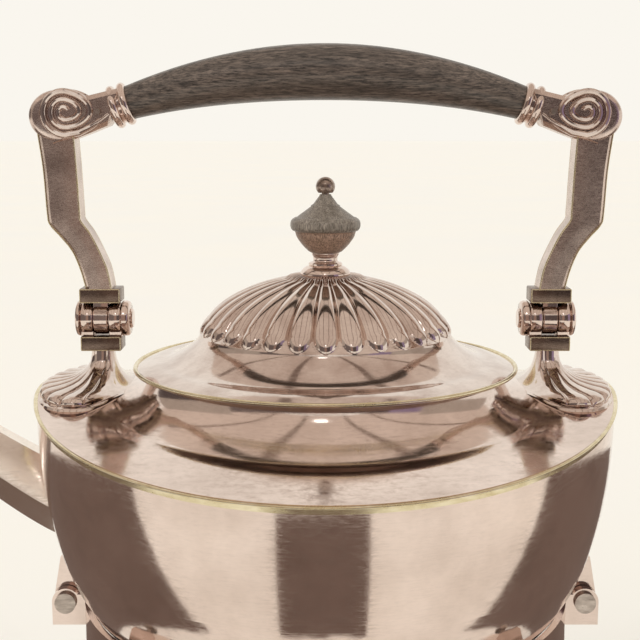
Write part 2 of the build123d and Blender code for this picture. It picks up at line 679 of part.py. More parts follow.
def lug_plate(side):
    """A plate soldered under the bowl that reaches out over the cradle ring to the tilt pin."""
    z = RIM_Z - LUG_DROP
    corners = [(side * (LUG_X + out), z + up) for out, up in LUG_OUTLINE]
    face = make_face(Plane.XZ * Polyline(*corners, close=True))
    plate = extrude(face, LUG_W / 2, both=True)
    plate += lug_pin(side, LUG_R, LUG_W / 2)
    return plate - bowl_solid(0)


def tilt_lug():
    return lug_plate(-1) - lug_pin(-1, TILT_PIN_R + PIN_FIT, LUG_W)


def rest_lug():
    """The lug away from the spout, slotted from below so that it lifts off its pin."""
    slot_half = TILT_PIN_R + PIN_FIT
    z = RIM_Z - LUG_DROP
    slot = box((LUG_X - slot_half - 0.15, -LUG_W, z - LUG_R - 1), (LUG_X + slot_half, LUG_W, z))
    return lug_plate(1) - lug_pin(1, TILT_PIN_R + PIN_FIT, LUG_W) - slot


def bracket(side):
    """Two cheeks on the cradle ring that hold a pin across the kettle's lug."""
    z = RIM_Z - LUG_DROP
    inner, outer = LUG_W / 2 + LUG_GAP, LUG_W / 2 + LUG_GAP + CHEEK_T
    low, root_top = z - LUG_R - BRACKET_FLOOR - 0.7, z + LUG_R - 2
    near, far = CRADLE_OUT_R - 3, LUG_X + LUG_R
    x0, x1 = sorted((side * near, side * far))
    piece = box((x0, -outer, low), (x1, outer, low + BRACKET_FLOOR))
    outline = [(near, low), (far, low), (far, z), (LUG_X, z), (LUG_X, root_top), (near, root_top)]
    face = make_face(Plane.XZ * Polyline(*[(side * x, h) for x, h in outline], close=True))
    for y0, y1 in ((-outer, -inner), (inner, outer)):
        piece += Pos(0, (y0 + y1) / 2, 0) * extrude(face, CHEEK_T / 2, both=True)
        piece += cylinder(LUG_R, CHEEK_T, (side * LUG_X, y0, z), (0, 1, 0))
    piece -= cylinder(CRADLE_OUT_R, BIG, (0, 0, RIM_Z - BIG / 2), (0, 0, 1))
    return piece - lug_pin(side, TILT_PIN_R, BIG / 4)


def tilt_pin(side):
    reach = LUG_W / 2 + LUG_GAP + CHEEK_T
    pin = lug_pin(side, TILT_PIN_R, reach + 0.5)
    for start in (-reach - TILT_HEAD_T, reach):
        pin += cylinder(TILT_HEAD_R, TILT_HEAD_T, (side * LUG_X, start, RIM_Z - LUG_DROP), (0, 1, 0))
    return pin


# ---- stand ---------------------------------------------------------------------------------------
def cradle_ring():
    low = RIM_Z - CRADLE_TOP - CRADLE_H
    ring = cylinder(CRADLE_OUT_R, CRADLE_H, (0, 0, low), (0, 0, 1))
    ring -= cylinder(CRADLE_IN_R, CRADLE_H, (0, 0, low), (0, 0, 1))
    ring -= bowl_solid(-SEAT_GAP)
    for turn in leg_turns():
        ring -= Rot(0, 0, turn) * ring_screw(SCREW_FIT)
    return ring


def leg_turns():
    """Angles of the legs about the kettle's axis, none of them under the spout."""
    return [360 / LEG_COUNT * (i + 0.5) for i in range(LEG_COUNT)]


def leg_blank():
    """A cabriole leg standing out along +X, before it is fitted to the ring."""
    top = RIM_Z - CRADLE_TOP
    height = top - FOOT_PAD_H
    outer = [(CRADLE_OUT_R + out, FOOT_PAD_H + height * share) for out, share in LEG_OUTER]
    inner = [(CRADLE_OUT_R + out, FOOT_PAD_H + height * share) for out, share in LEG_INNER]
    top_corner = (CRADLE_OUT_R - 2, top)
    low_corner = (CRADLE_OUT_R - 2, inner[-1][1] + 1)
    edges = [
        Spline(*outer),
        Line(outer[-1], inner[0]),
        Spline(*inner),
        Line(inner[-1], low_corner),
        Line(low_corner, top_corner),
        Line(top_corner, outer[0]),
    ]
    face = make_face([Plane.XZ * edge for edge in edges])
    leg = extrude(face, LEG_W / 2, both=True)
    long_edges = [e for e in leg.edges() if abs(e.center().Y) > LEG_W / 2 - 0.01 and e.length > height / 2]
    return chamfer(long_edges, LEG_BEVEL)


def ring_screw(fit):
    """Screw through the top of a leg into the cradle ring."""
    z = RIM_Z - CRADLE_TOP - CRADLE_H / 3
    return leg_screw(CRADLE_OUT_R - SCREW_GRIP, z, fit)


def strut_screw(fit):
    """Screw through a leg's waist into a strut."""
    z = LAMP_RING_Z - LAMP_RING_H / 2
    return leg_screw(leg_back(z) - SCREW_GRIP - 2, z, fit)


def leg_screw(start, z, fit):
    """A screw through a leg with its head on the leg's face, or with a fit only its clearance hole."""
    if fit:
        return cylinder(SCREW_R + fit, BIG / 4, (start, 0, z), (1, 0, 0))
    face_x = leg_face(z)
    body = cylinder(SCREW_R, face_x - start + 0.2, (start, 0, z), (1, 0, 0))
    return body + cylinder(SCREW_HEAD_R, SCREW_HEAD_T, (face_x, 0, z), (1, 0, 0))


def leg_crossing(z):
    """Distances at which the leg's middle is entered and left at a height."""
    ray = box((0, -0.01, z - SCREW_HEAD_R), (BIG, 0.01, z + SCREW_HEAD_R))
    extent = (leg_blank() & ray).bounding_box()
    return extent.min.X, extent.max.X


def leg_face(z):
    return leg_crossing(z)[1]


def leg_back(z):
    return leg_crossing(z)[0]


def leg(turn):
    piece = leg_blank() - cylinder(CRADLE_OUT_R, BIG, (0, 0, 0), (0, 0, 1))
    low_part = leg_blank() & box((0, -LEG_W, 0), (BIG, LEG_W, RIM_Z - CRADLE_TOP - CRADLE_H - 2))
    piece = piece + low_part - ring_screw(SCREW_FIT) - strut_screw(SCREW_FIT)
    return Rot(0, 0, turn) * piece


def foot_pad(turn):
    pad = polygon_turned([(0, 0), (FOOT_PAD_R - 1.5, 0), (FOOT_PAD_R, 1.5), (FOOT_PAD_R, FOOT_PAD_H - 3),
                          (FOOT_PAD_R - 2.5, FOOT_PAD_H), (0, FOOT_PAD_H)])
    return Rot(0, 0, turn) * Pos(FOOT_PAD_X, 0, 0) * pad


def lamp_ring():
    low = LAMP_RING_Z - LAMP_RING_H
    ring = cylinder(LAMP_RING_R, LAMP_RING_H, (0, 0, low), (0, 0, 1))
    return ring - cylinder(LAMP_RING_R - LAMP_RING_T, LAMP_RING_H, (0, 0, low), (0, 0, 1))


def strut(turn):
    z = LAMP_RING_Z - LAMP_RING_H / 2
    bar = box((LAMP_RING_R - 1, -STRUT_W / 2, z - STRUT_H / 2), (leg_back(z) + 3, STRUT_W / 2, z + STRUT_H / 2))
    bar -= cylinder(LAMP_RING_R, BIG, (0, 0, 0), (0, 0, 1))
    return Rot(0, 0, turn) * (bar - leg_blank() - strut_screw(SCREW_FIT))


def screws(screw):
    return Compound(children=[Rot(0, 0, turn) * screw(0) for turn in leg_turns()])


# ---- spirit lamp ---------------------------------------------------------------------------------
def lamp_solid(inset):
    """The lamp's reservoir as a full solid, its outside moved inwards by inset."""
    lip = LAMP_RING_Z + LAMP_GAP + LAMP_LIP_T
    base_z = LAMP_BASE_Z + inset
    belly = (LAMP_R - inset, LAMP_RING_Z - LAMP_RING_H)
    return turned([
        Line((0, base_z), (LAMP_BASE_R - inset, base_z)),
        ThreePointArc((LAMP_BASE_R - inset, base_z), (LAMP_R - inset - 1.8, base_z + LAMP_BELLY_H), belly),
        Line(belly, (LAMP_R - inset, lip)),
        Line((LAMP_R - inset, lip), (LAMP_SHOULDER_R, LAMP_TOP_Z - inset)),
        Line((LAMP_SHOULDER_R, LAMP_TOP_Z - inset), (0, LAMP_TOP_Z - inset)),
        Line((0, LAMP_TOP_Z - inset), (0, base_z)),
    ])


def lamp_reservoir():
    lip = cylinder(LAMP_LIP_R, LAMP_LIP_T, (0, 0, LAMP_RING_Z + LAMP_GAP), (0, 0, 1))
    shell = lamp_solid(0) + lip - lamp_solid(LAMP_WALL)
    shell -= cylinder(LAMP_SHOULDER_R - 2, BIG, (0, 0, LAMP_RING_Z), (0, 0, 1))
    return shell - cylinder(FILLER_R - 1, BIG, (-FILLER_X, 0, LAMP_RING_Z), (0, 0, 1))


def burner_collar():
    ring = cylinder(COLLAR_R, COLLAR_H, (0, 0, LAMP_TOP_Z), (0, 0, 1))
    ring -= cylinder(LAMP_SHOULDER_R - 2, COLLAR_H - 1.5, (0, 0, LAMP_TOP_Z), (0, 0, 1))
    return ring - cylinder(WICK_TUBE_R, BIG, (0, 0, LAMP_TOP_Z), (0, 0, 1))


def wick_tube():
    length = WICK_TUBE_TOP - WICK_TUBE_FOOT
    tube = cylinder(WICK_TUBE_R, length, (0, 0, WICK_TUBE_FOOT), (0, 0, 1))
    return tube - cylinder(WICK_TUBE_R - WICK_TUBE_WALL, length, (0, 0, WICK_TUBE_FOOT), (0, 0, 1))


def wick():
    radius = WICK_TUBE_R - WICK_TUBE_WALL - WICK_FIT
    return cylinder(radius, WICK_TIP - WICK_FOOT, (0, 0, WICK_FOOT), (0, 0, 1))


def lamp_slope_z(radius):
    """Height of the lamp's sloping shoulder at a distance from the axis."""
    slope = (LAMP_TOP_Z - LAMP_RING_Z - LAMP_GAP - LAMP_LIP_T) / (LAMP_R - LAMP_SHOULDER_R)
    return LAMP_TOP_Z - slope * (radius - LAMP_SHOULDER_R)


def filler_top():
    return lamp_slope_z(FILLER_X - FILLER_R) + FILLER_H


def filler_neck():
    tube = cylinder(FILLER_R, filler_top() - LAMP_RING_Z, (-FILLER_X, 0, LAMP_RING_Z), (0, 0, 1))
    tube -= cylinder(FILLER_R - 1, BIG, (-FILLER_X, 0, LAMP_RING_Z), (0, 0, 1))
    return tube - lamp_solid(0)


def filler_cap():
    """Screw cap over the filler neck, clear of the lamp's slope all the way round, with a small button on top."""
    mouth_z = lamp_slope_z(FILLER_X - FILLER_CAP_R) + LAMP_GAP
    seat = filler_top() + FILLER_FIT
    mouth = (-FILLER_X, 0, mouth_z)
    cap = cylinder(FILLER_CAP_R, seat + FILLER_CAP_T - mouth_z, mouth, (0, 0, 1))
    cap -= cylinder(FILLER_R + FILLER_FIT, seat - mouth_z, mouth, (0, 0, 1))
    return cap + cylinder(FILLER_CAP_R - 3, 1.2, (-FILLER_X, 0, seat + FILLER_CAP_T), (0, 0, 1))


def snuffer_axis():
    return SNUFFER_HINGE_X, WICK_TUBE_TOP - SNUFFER_SKIRT - SNUFFER_HINGE_DROP


def snuffer_rod(y0, y1, radius):
    x, z = snuffer_axis()
    return cylinder(radius, y1 - y0, (x, y0, z), (0, 1, 0))


def snuffer_cap():
    mouth = WICK_TUBE_TOP - SNUFFER_SKIRT
    cup = polygon_turned([(0, mouth), (SNUFFER_R, mouth), (SNUFFER_R - 0.8, mouth + SNUFFER_H - 2),
                          (2.2, mouth + SNUFFER_H), (0, mouth + SNUFFER_H)])
    inner_r = SNUFFER_R - SNUFFER_WALL
    cup -= polygon_turned([(0, mouth), (inner_r, mouth), (inner_r - 0.8, mouth + SNUFFER_H - 2.2),
                           (0, mouth + SNUFFER_H - SNUFFER_WALL - 0.4)])
    return cup + Pos(0, 0, mouth + SNUFFER_H + 1.2) * Sphere(1.8)


def snuffer_arm():
    x, z = snuffer_axis()
    arm = box((0, -SNUFFER_W / 2, z + 0.2), (x, SNUFFER_W / 2, z + 2.2))
    arm -= cylinder(SNUFFER_R, BIG, (0, 0, 0), (0, 0, 1))
    arm += snuffer_rod(-SNUFFER_W / 2, SNUFFER_W / 2, SNUFFER_KNUCKLE_R)
    root = box((SNUFFER_R - 1.2, -SNUFFER_W / 2, z + 1.2), (SNUFFER_R + 2, SNUFFER_W / 2, z + 3.0))
    arm += root - snuffer_bulk()
    return arm - snuffer_rod(-SNUFFER_W, SNUFFER_W, SNUFFER_PIN_R + PIN_FIT)


def snuffer_bulk():
    """The snuffer's outside as a full solid."""
    mouth = WICK_TUBE_TOP - SNUFFER_SKIRT
    return polygon_turned([(0, mouth), (SNUFFER_R, mouth), (SNUFFER_R - 0.8, mouth + SNUFFER_H - 2),
                           (0, mouth + SNUFFER_H)])


def snuffer_bracket():
    x, z = snuffer_axis()
    low = LAMP_TOP_Z + COLLAR_H
    inner, outer = SNUFFER_W / 2 + SIDE_GAP, SNUFFER_W / 2 + SIDE_GAP + 2.0
    piece = box((x - 6, -outer, low), (x + SNUFFER_KNUCKLE_R, outer, low + 1.4))
    for y0, y1 in ((-outer, -inner), (inner, outer)):
        piece += box((x - SNUFFER_KNUCKLE_R, y0, low), (x + SNUFFER_KNUCKLE_R, y1, z))
        piece += snuffer_rod(y0, y1, SNUFFER_KNUCKLE_R)
    return piece - snuffer_rod(-BIG / 4, BIG / 4, SNUFFER_PIN_R)


def snuffer_pin():
    reach = SNUFFER_W / 2 + SIDE_GAP + 2.0
    pin = snuffer_rod(-reach, reach, SNUFFER_PIN_R)
    for y0, y1 in ((-reach - 0.7, -reach), (reach, reach + 0.7)):
        pin += snuffer_rod(y0, y1, SNUFFER_PIN_R + 0.7)
    return pin


# ---- the whole object ----------------------------------------------------------------------------
def kettle_pieces():
    pieces = {
        "bowl": bowl(), "shoulder_plate": shoulder(), "rim_band": rim_band(), "neck_ring": neck_ring(),
        "spout": spout(), "tilt_lug": tilt_lug(), "rest_lug": rest_lug(),
        "lid_hinge_post": lid_hinge_post(), "lid_hinge_pin": lid_hinge_pin(),
    }
    for name, side in (("left", -1), ("right", 1)):
        pieces[name + "_handle_foot"] = handle_foot(side)
        pieces[name + "_hinge_pin"] = hinge_pin(side)
    return pieces


def bail_pieces():
    pieces = {"grip": grip(), "grip_pins": grip_pins()}
    for name, side in (("left", -1), ("right", 1)):
        pieces[name + "_bail_arm"] = bail_arm(side)
        pieces[name + "_ferrule"] = ferrule(side)
    return pieces


def lid_pieces():
    return {
        "lid_shell": lid_shell(), "lid_bezel": lid_bezel(), "lid_hinge_leaf": lid_hinge_leaf(),
        "finial_base": finial_base(), "finial_knob": finial_knob(), "finial_rod": finial_rod(),
        "finial_washer": finial_washer(), "finial_nut": finial_nut(),
    }


def stand_pieces():
    pieces = {
        "cradle_ring": cradle_ring(), "lamp_ring": lamp_ring(), "leg_screws": screws(ring_screw),
        "strut_screws": screws(strut_screw), "tilt_bracket": bracket(-1), "tilt_pin": tilt_pin(-1),
        "rest_bracket": bracket(1), "rest_pin": tilt_pin(1),
    }
    places = ("back_right", "back_left", "front_left", "front_right")
    for name, turn in zip(places, leg_turns()):
        pieces[name + "_leg"] = leg(turn)
        pieces[name + "_foot_pad"] = foot_pad(turn)
        pieces[name + "_strut"] = strut(turn)
    return pieces


def lamp_pieces():
    return {
        "lamp_reservoir": lamp_reservoir(), "burner_collar": burner_collar(), "wick_tube": wick_tube(),
        "wick": wick(), "filler_neck": filler_neck(), "filler_cap": filler_cap(), "snuffer_cap": snuffer_cap(),
        "snuffer_arm": snuffer_arm(), "snuffer_bracket": snuffer_bracket(), "snuffer_pin": snuffer_pin(),
    }


def main():
    pieces = {**kettle_pieces(), **bail_pieces(), **lid_pieces(), **stand_pieces(), **lamp_pieces()}
    bounds = [piece.bounding_box() for piece in pieces.values()]
    shift = -(min(b.min.X for b in bounds) + max(b.max.X for b in bounds)) / 2
    os.makedirs("parts", exist_ok=True)
    for name, piece in pieces.items():
        export_step(Pos(shift, 0, 0) * piece, f"parts/{name}.step")
    print("kettle's axis stands at x =", round(shift, 3))


main()
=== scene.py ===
"""Looks of the spirit kettle on its stand: finishes, modelled silverwork, studio and camera.

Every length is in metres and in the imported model's frame: +Z up, the table at z = 0, the spout towards -X.
Heights of the kettle's own parts are counted from its rim, as in the maker's drawing.
"""

import json
import logging
import math
from dataclasses import dataclass
from enum import Enum
from typing import Callable, Iterable, Sequence

import bpy
from mathutils import Matrix, Vector


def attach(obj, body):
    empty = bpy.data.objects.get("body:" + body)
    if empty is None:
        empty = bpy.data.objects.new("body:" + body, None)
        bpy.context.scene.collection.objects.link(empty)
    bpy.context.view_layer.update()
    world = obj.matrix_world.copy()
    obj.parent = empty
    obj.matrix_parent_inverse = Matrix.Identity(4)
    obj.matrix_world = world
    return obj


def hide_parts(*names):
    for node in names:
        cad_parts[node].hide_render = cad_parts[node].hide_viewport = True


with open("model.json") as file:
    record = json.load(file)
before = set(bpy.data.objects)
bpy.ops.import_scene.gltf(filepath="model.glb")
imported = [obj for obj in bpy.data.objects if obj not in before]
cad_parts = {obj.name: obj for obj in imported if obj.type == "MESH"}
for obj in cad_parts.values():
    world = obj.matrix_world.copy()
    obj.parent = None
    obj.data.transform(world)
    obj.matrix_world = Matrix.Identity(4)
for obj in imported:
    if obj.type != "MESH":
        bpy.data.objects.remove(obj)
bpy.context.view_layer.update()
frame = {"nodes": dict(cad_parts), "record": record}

MM = 0.001
AXIS_X = 27.797 * MM     # the kettle's own axis
RIM_Z = 190.0 * MM       # level from which the kettle's heights are counted
SAME_PLACE = 0.01 * MM   # points nearer to each other than this are one
SOFT_DEG = 60.0          # on rounded and chased work only edges sharper than this stay crisp
CRISP_DEG = 20.0         # the same for bevelled work

log = logging.getLogger("kettle")

Profile = Sequence[tuple[float, float]]
Point = tuple[float, float, float]


# ---- modelling helpers ---------------------------------------------------------------------------
def place(x: float, y: float, z: float) -> Vector:
    """A point given in millimetres about the kettle's axis and rim, in the frame's metres."""
    return Vector((AXIS_X + x * MM, y * MM, RIM_Z + z * MM))


def deselect_all() -> None:
    """Leaves object mode with nothing selected, because operators act on all that is selected."""
    if bpy.context.object and bpy.context.object.mode != "OBJECT":
        bpy.ops.object.mode_set(mode="OBJECT")
    bpy.ops.object.select_all(action="DESELECT")


def activate(piece: bpy.types.Object) -> bpy.types.Object:
    """Selects one object alone and makes it active.

    Args:
        piece: the object to work on.

    Returns:
        The same object.
    """
    deselect_all()
    piece.select_set(True)
    bpy.context.view_layer.objects.active = piece
    return piece


def edit(piece: bpy.types.Object, select: str = "DESELECT") -> None:
    """Opens a piece in edit mode with all or nothing of it selected.

    Args:
        piece: the mesh object.
        select: "SELECT" for all of it, "DESELECT" for nothing.
    """
    activate(piece)
    bpy.ops.object.mode_set(mode="EDIT")
    bpy.ops.mesh.select_all(action=select)


def modify(piece: bpy.types.Object, kind: str, **settings: str | float) -> bpy.types.Object:
    """Adds a modifier with its settings and applies it.

    Args:
        piece: the mesh object.
        kind: Blender's name for the modifier.
        settings: values for its fields.

    Returns:
        The same object.
    """
    activate(piece)
    modifier = piece.modifiers.new(kind.title(), kind)
    for name, value in settings.items():
        setattr(modifier, name, value)
    bpy.ops.object.modifier_apply(modifier=modifier.name)
    return piece


def named(piece: bpy.types.Object, name: str) -> bpy.types.Object:
    """Names an object and its mesh."""
    piece.name = name
    piece.data.name = name
    return piece


def joined(name: str, parts: Iterable[bpy.types.Object]) -> bpy.types.Object:
    """Joins several mesh objects into one piece.

    Args:
        name: the new piece's name.
        parts: the objects to join.

    Returns:
        The joined object.
    """
    parts = list(parts)
    deselect_all()
    for part in parts:
        part.select_set(True)
    bpy.context.view_layer.objects.active = parts[0]
    bpy.ops.object.join()
    return named(parts[0], name)


def shade(piece: bpy.types.Object, smooth_deg: float) -> bpy.types.Object:
    """Shades a piece smoothly, but for the edges that are sharper than an angle.

    Args:
        piece: the mesh object.
        smooth_deg: edges sharper than this stay crisp.

    Returns:
        The same object.
    """
    activate(piece)
    bpy.ops.object.shade_smooth_by_angle(angle=math.radians(smooth_deg))
    return piece


def settle(piece: bpy.types.Object, smooth_deg: float, outward: bool = True) -> bpy.types.Object:
    """Gives a finished piece its place in its mesh, merged doubles, outward normals and smooth shading.

    Args:
        piece: the mesh object.
        smooth_deg: edges sharper than this stay crisp.
        outward: False leaves the normals as they are.

    Returns:
        The same object.
    """
    activate(piece)
    bpy.ops.object.transform_apply(location=True, rotation=True, scale=True)
    edit(piece, "SELECT")
    bpy.ops.mesh.remove_doubles(threshold=SAME_PLACE)
    if outward:
        bpy.ops.mesh.normals_make_consistent(inside=False)
    bpy.ops.object.mode_set(mode="OBJECT")
    return shade(piece, smooth_deg)


def thicken(piece: bpy.types.Object, wall: float, near: Point | None = None,
            looks_up: bool = True) -> bpy.types.Object:
    """Turns the normals of an open sheet outwards and gives it its thickness on the inside.

    Args:
        piece: the sheet, modelled as its outer surface.
        wall: its thickness in millimetres.
        near: a place beside a face whose outer side is known, where the sheet's form alone doesn't settle it.
        looks_up: whether that face looks up or down.

    Returns:
        The same object.
    """
    edit(piece, "SELECT")
    bpy.ops.mesh.remove_doubles(threshold=SAME_PLACE)
    bpy.ops.mesh.normals_make_consistent(inside=False)
    bpy.ops.object.mode_set(mode="OBJECT")
    if near:
        known = min(piece.data.polygons, key=lambda face: (face.center - place(*near)).length)
        if (known.normal.z > 0) != looks_up:
            edit(piece, "SELECT")
            bpy.ops.mesh.flip_normals()
            bpy.ops.object.mode_set(mode="OBJECT")
    return modify(piece, "SOLIDIFY", thickness=wall * MM, offset=-1.0)


def lathe(name: str, profile: Profile, segments: int) -> bpy.types.Object:
    """Turns a profile about the kettle's axis: a ring is extruded and resized from point to point.

    Args:
        name: the new piece's name.
        profile: (radius, height above the rim) in millimetres, from one end to the other.
        segments: sides of the ring.

    Returns:
        The turned piece, not yet settled.
    """
    radius, height = profile[0]
    deselect_all()
    bpy.ops.mesh.primitive_circle_add(vertices=segments, radius=radius * MM, location=place(0, 0, height),
                                      fill_type="NOTHING")
    piece = named(bpy.context.object, name)
    bpy.ops.object.transform_apply(location=True, rotation=True, scale=True)
    edit(piece, "SELECT")
    for (r0, z0), (r1, z1) in zip(profile, profile[1:]):
        bpy.ops.mesh.select_mode(type="EDGE")
        bpy.ops.mesh.extrude_edges_move(TRANSFORM_OT_translate={"value": (0, 0, (z1 - z0) * MM)})
        bpy.ops.transform.resize(value=(r1 / r0, r1 / r0, 1), center_override=place(0, 0, z1))
    bpy.ops.object.mode_set(mode="OBJECT")
    return piece


def shape_vertices(piece: bpy.types.Object, move: Callable[[Vector], Vector]) -> None:
    """Moves each vertex of a piece by a rule.

    Args:
        piece: the mesh object.
        move: old place -> new place, both in millimetres about the axis and rim.
    """
    origin = place(0, 0, 0)
    for vertex in piece.data.vertices:
        vertex.co = origin + move((vertex.co - origin) / MM) * MM
    piece.data.update()


def cut_block(name: str, low: Point, high: Point, bevel: float) -> bpy.types.Object:
    """Cuts a block between two corners, in millimetres about the axis and rim, and breaks its edges.

    Args:
        name: the new piece's name.
        low: lowest corner.
        high: highest corner.
        bevel: width of the broken edges.

    Returns:
        The block, with its place applied.
    """
    middle = [(a + b) / 2 for a, b in zip(low, high)]
    size = [(b - a) * MM for a, b in zip(low, high)]
    deselect_all()
    bpy.ops.mesh.primitive_cube_add(size=1, location=place(*middle))
    piece = named(bpy.context.object, name)
    piece.scale = size
    bpy.ops.object.transform_apply(location=True, rotation=True, scale=True)
    return modify(piece, "BEVEL", width=bevel * MM, segments=3, limit_method="ANGLE")


def turned_bar(name: str, start: Point, end: Point, radius: float, rings: Profile = ((0, 1), (1, 1)),
               sides: int = 48) -> bpy.types.Object:
    """Turns a bar between two points, its radius changing along it.

    Args:
        name: the new piece's name.
        start: first end, in millimetres about the axis and rim.
        end: other end.
        radius: the bar's radius in millimetres.
        rings: (share of the length, share of the radius) pairs.
        sides: sides of the bar.

    Returns:
        The bar, with its place applied.
    """
    along = place(*end) - place(*start)
    turn = along.to_track_quat("Z", "Y").to_matrix().to_4x4()
    deselect_all()
    bpy.ops.mesh.primitive_circle_add(vertices=sides, radius=radius * rings[0][1] * MM, fill_type="NGON")
    piece = named(bpy.context.object, name)
    edit(piece, "SELECT")
    for (t0, k0), (t1, k1) in zip(rings, rings[1:]):
        bpy.ops.mesh.extrude_region_move(TRANSFORM_OT_translate={"value": (0, 0, (t1 - t0) * along.length)})
        bpy.ops.transform.resize(value=(k1 / k0, k1 / k0, 1))
    bpy.ops.mesh.select_all(action="SELECT")
    bpy.ops.mesh.normals_make_consistent(inside=False)
    bpy.ops.object.mode_set(mode="OBJECT")
    piece.matrix_world = Matrix.Translation(place(*start)) @ turn
    activate(piece)
    bpy.ops.object.transform_apply(location=True, rotation=True, scale=True)
    return piece


def sleeve(name: str, rows: int, sides: int, rule: Callable[[int, int], Point],
           capped: bool = True) -> bpy.types.Object:
    """Extrudes a ring row by row into a tube, then moves each point of it to where a rule says.

    Args:
        name: the new piece's name.
        rows: rings along the tube.
        sides: points in each ring.
        rule: (row, side) -> place in millimetres about the axis and rim.
        capped: True fills both ends.

    Returns:
        The piece, not yet settled.
    """
    deselect_all()
    bpy.ops.mesh.primitive_circle_add(vertices=sides, radius=1.0, fill_type="NOTHING")
    piece = named(bpy.context.object, name)
    edit(piece, "SELECT")
    bpy.ops.mesh.select_mode(type="EDGE")
    for _ in range(rows - 1):
        bpy.ops.mesh.extrude_edges_move(TRANSFORM_OT_translate={"value": (0, 0, 1.0)})
    bpy.ops.object.mode_set(mode="OBJECT")
    for vertex in piece.data.vertices:
        turn = math.atan2(vertex.co.y, vertex.co.x) / (2 * math.pi) % 1.0
        vertex.co = place(*rule(round(vertex.co.z), round(turn * sides) % sides))
    piece.data.update()
    if capped:
        edit(piece, "DESELECT")
        bpy.ops.mesh.select_mode(type="EDGE")
        bpy.ops.mesh.select_non_manifold()
        bpy.ops.mesh.edge_face_add()
        bpy.ops.object.mode_set(mode="OBJECT")
    return piece


def strand(name: str, path: Sequence[Point], radii: Sequence[float], sides: int = 12) -> bpy.types.Object:
    """Models a round strand along points that lie in one X-Z plane, as thick as each point's radius.

    Args:
        name: the new piece's name.
        path: its points, in millimetres about the axis and rim.
        radii: the strand's radius at each point.
        sides: points in each ring.

    Returns:
        The strand.
    """
    spots = [Vector(point) for point in path]

    def rule(row: int, side: int) -> Point:
        """Places one point of the strand.

        Args:
            row: the point of the path.
            side: the number round it.

        Returns:
            The point.
        """
        along = (spots[min(row + 1, len(spots) - 1)] - spots[max(row - 1, 0)]).normalized()
        out = Vector((-along.z, 0, along.x))
        turn = 2 * math.pi * side / sides
        return tuple(spots[row] + radii[row] * (out * math.cos(turn) + Vector((0, -1, 0)) * math.sin(turn)))

    return sleeve(name, len(spots), sides, rule)


def fade_in(value: float, start: float, fade: float) -> float:
    """A share that rises from 0 at the start to 1 where the fade ends, and stays there."""
    return max(0.0, min(1.0, (value - start) / fade))


def sampled(points: Profile, steps: int) -> list[tuple[float, float]]:
    """Draws a smooth line through points.

    Args:
        points: the points to pass through.
        steps: equal steps in each stretch between two of them.

    Returns:
        The points of the line, the given ones among them.
    """
    line = [points[0]]
    for i in range(len(points) - 1):
        before, start, end, after = (Vector(points[max(i - 1, 0)]), Vector(points[i]), Vector(points[i + 1]),
                                     Vector(points[min(i + 2, len(points) - 1)]))
        for step in range(1, steps + 1):
            t = step / steps
            spot = 0.5 * (2 * start + (end - before) * t + (2 * before - 5 * start + 4 * end - after) * t ** 2
                          + (3 * start - before - 3 * end + after) * t ** 3)
            line.append(tuple(spot))
    return line


# ---- finishes ------------------------------------------------------------------------------------
class Grain(Enum):
    """Direction in which a surface was last polished or cut."""
    ROUND = (1.0, 1.0, 16.0)      # round the axis, from the lathe or the buffing wheel
    UPRIGHT = (9.0, 9.0, 1.0)     # up and down, as wood turned between centres
    ACROSS = (1.0, 9.0, 9.0)      # along X, as the grip


def linear(hex_colour: str) -> tuple[float, float, float, float]:
    """Works out a linear colour.

    Args:
        hex_colour: an sRGB hex value such as '#e8d4ca'.

    Returns:
        Its linear red, green, blue and alpha.
    """
    channels = [int(hex_colour[i:i + 2], 16) / 255 for i in (1, 3, 5)]
    return (*[c / 12.92 if c <= 0.04045 else ((c + 0.055) / 1.055) ** 2.4 for c in channels], 1.0)


def add_node(tree: bpy.types.NodeTree, kind: str, links: dict[str | int, bpy.types.NodeSocket] | None = None,
             **settings: str | float) -> bpy.types.Node:
    """Adds a shader node, with values for its fields and inputs and the sockets that feed it.

    Args:
        tree: the material's node tree.
        kind: the node's type name.
        links: input name or number -> output socket.
        settings: fields of the node, or inputs where no field has that name.

    Returns:
        The new node.
    """
    node = tree.nodes.new(kind)
    for name, value in settings.items():
        if hasattr(node, name):
            setattr(node, name, value)
        else:
            node.inputs[name.replace("_", " ")].default_value = value
    for socket, source in (links or {}).items():
        tree.links.new(source, node.inputs[socket])
    return node


def add_ramp(tree: bpy.types.NodeTree, source: bpy.types.NodeSocket,
             stops: Sequence[tuple[float, str | float]]) -> bpy.types.NodeSocket:
    """Maps a value through colour stops and gives the colour output.

    Args:
        tree: the material's node tree.
        source: the value.
        stops: (position, hex colour or grey value) pairs.

    Returns:
        The ramp's colour socket.
    """
    ramp = add_node(tree, "ShaderNodeValToRGB", {0: source})
    elements = ramp.color_ramp.elements
    while len(elements) < len(stops):
        elements.new(0.5)
    for element, (position, value) in zip(elements, stops):
        element.position = position
        element.color = linear(value) if isinstance(value, str) else (value, value, value, 1)
    return ramp.outputs[0]


def new_material(name: str) -> tuple[bpy.types.Material, bpy.types.NodeTree, bpy.types.Node]:
    """Makes an empty node material.

    Args:
        name: the finish's name.

    Returns:
        The material, its tree and its Principled shader.
    """
    material = bpy.data.materials.new(name)
    material.use_nodes = True
    tree = material.node_tree
    return material, tree, tree.nodes["Principled BSDF"]


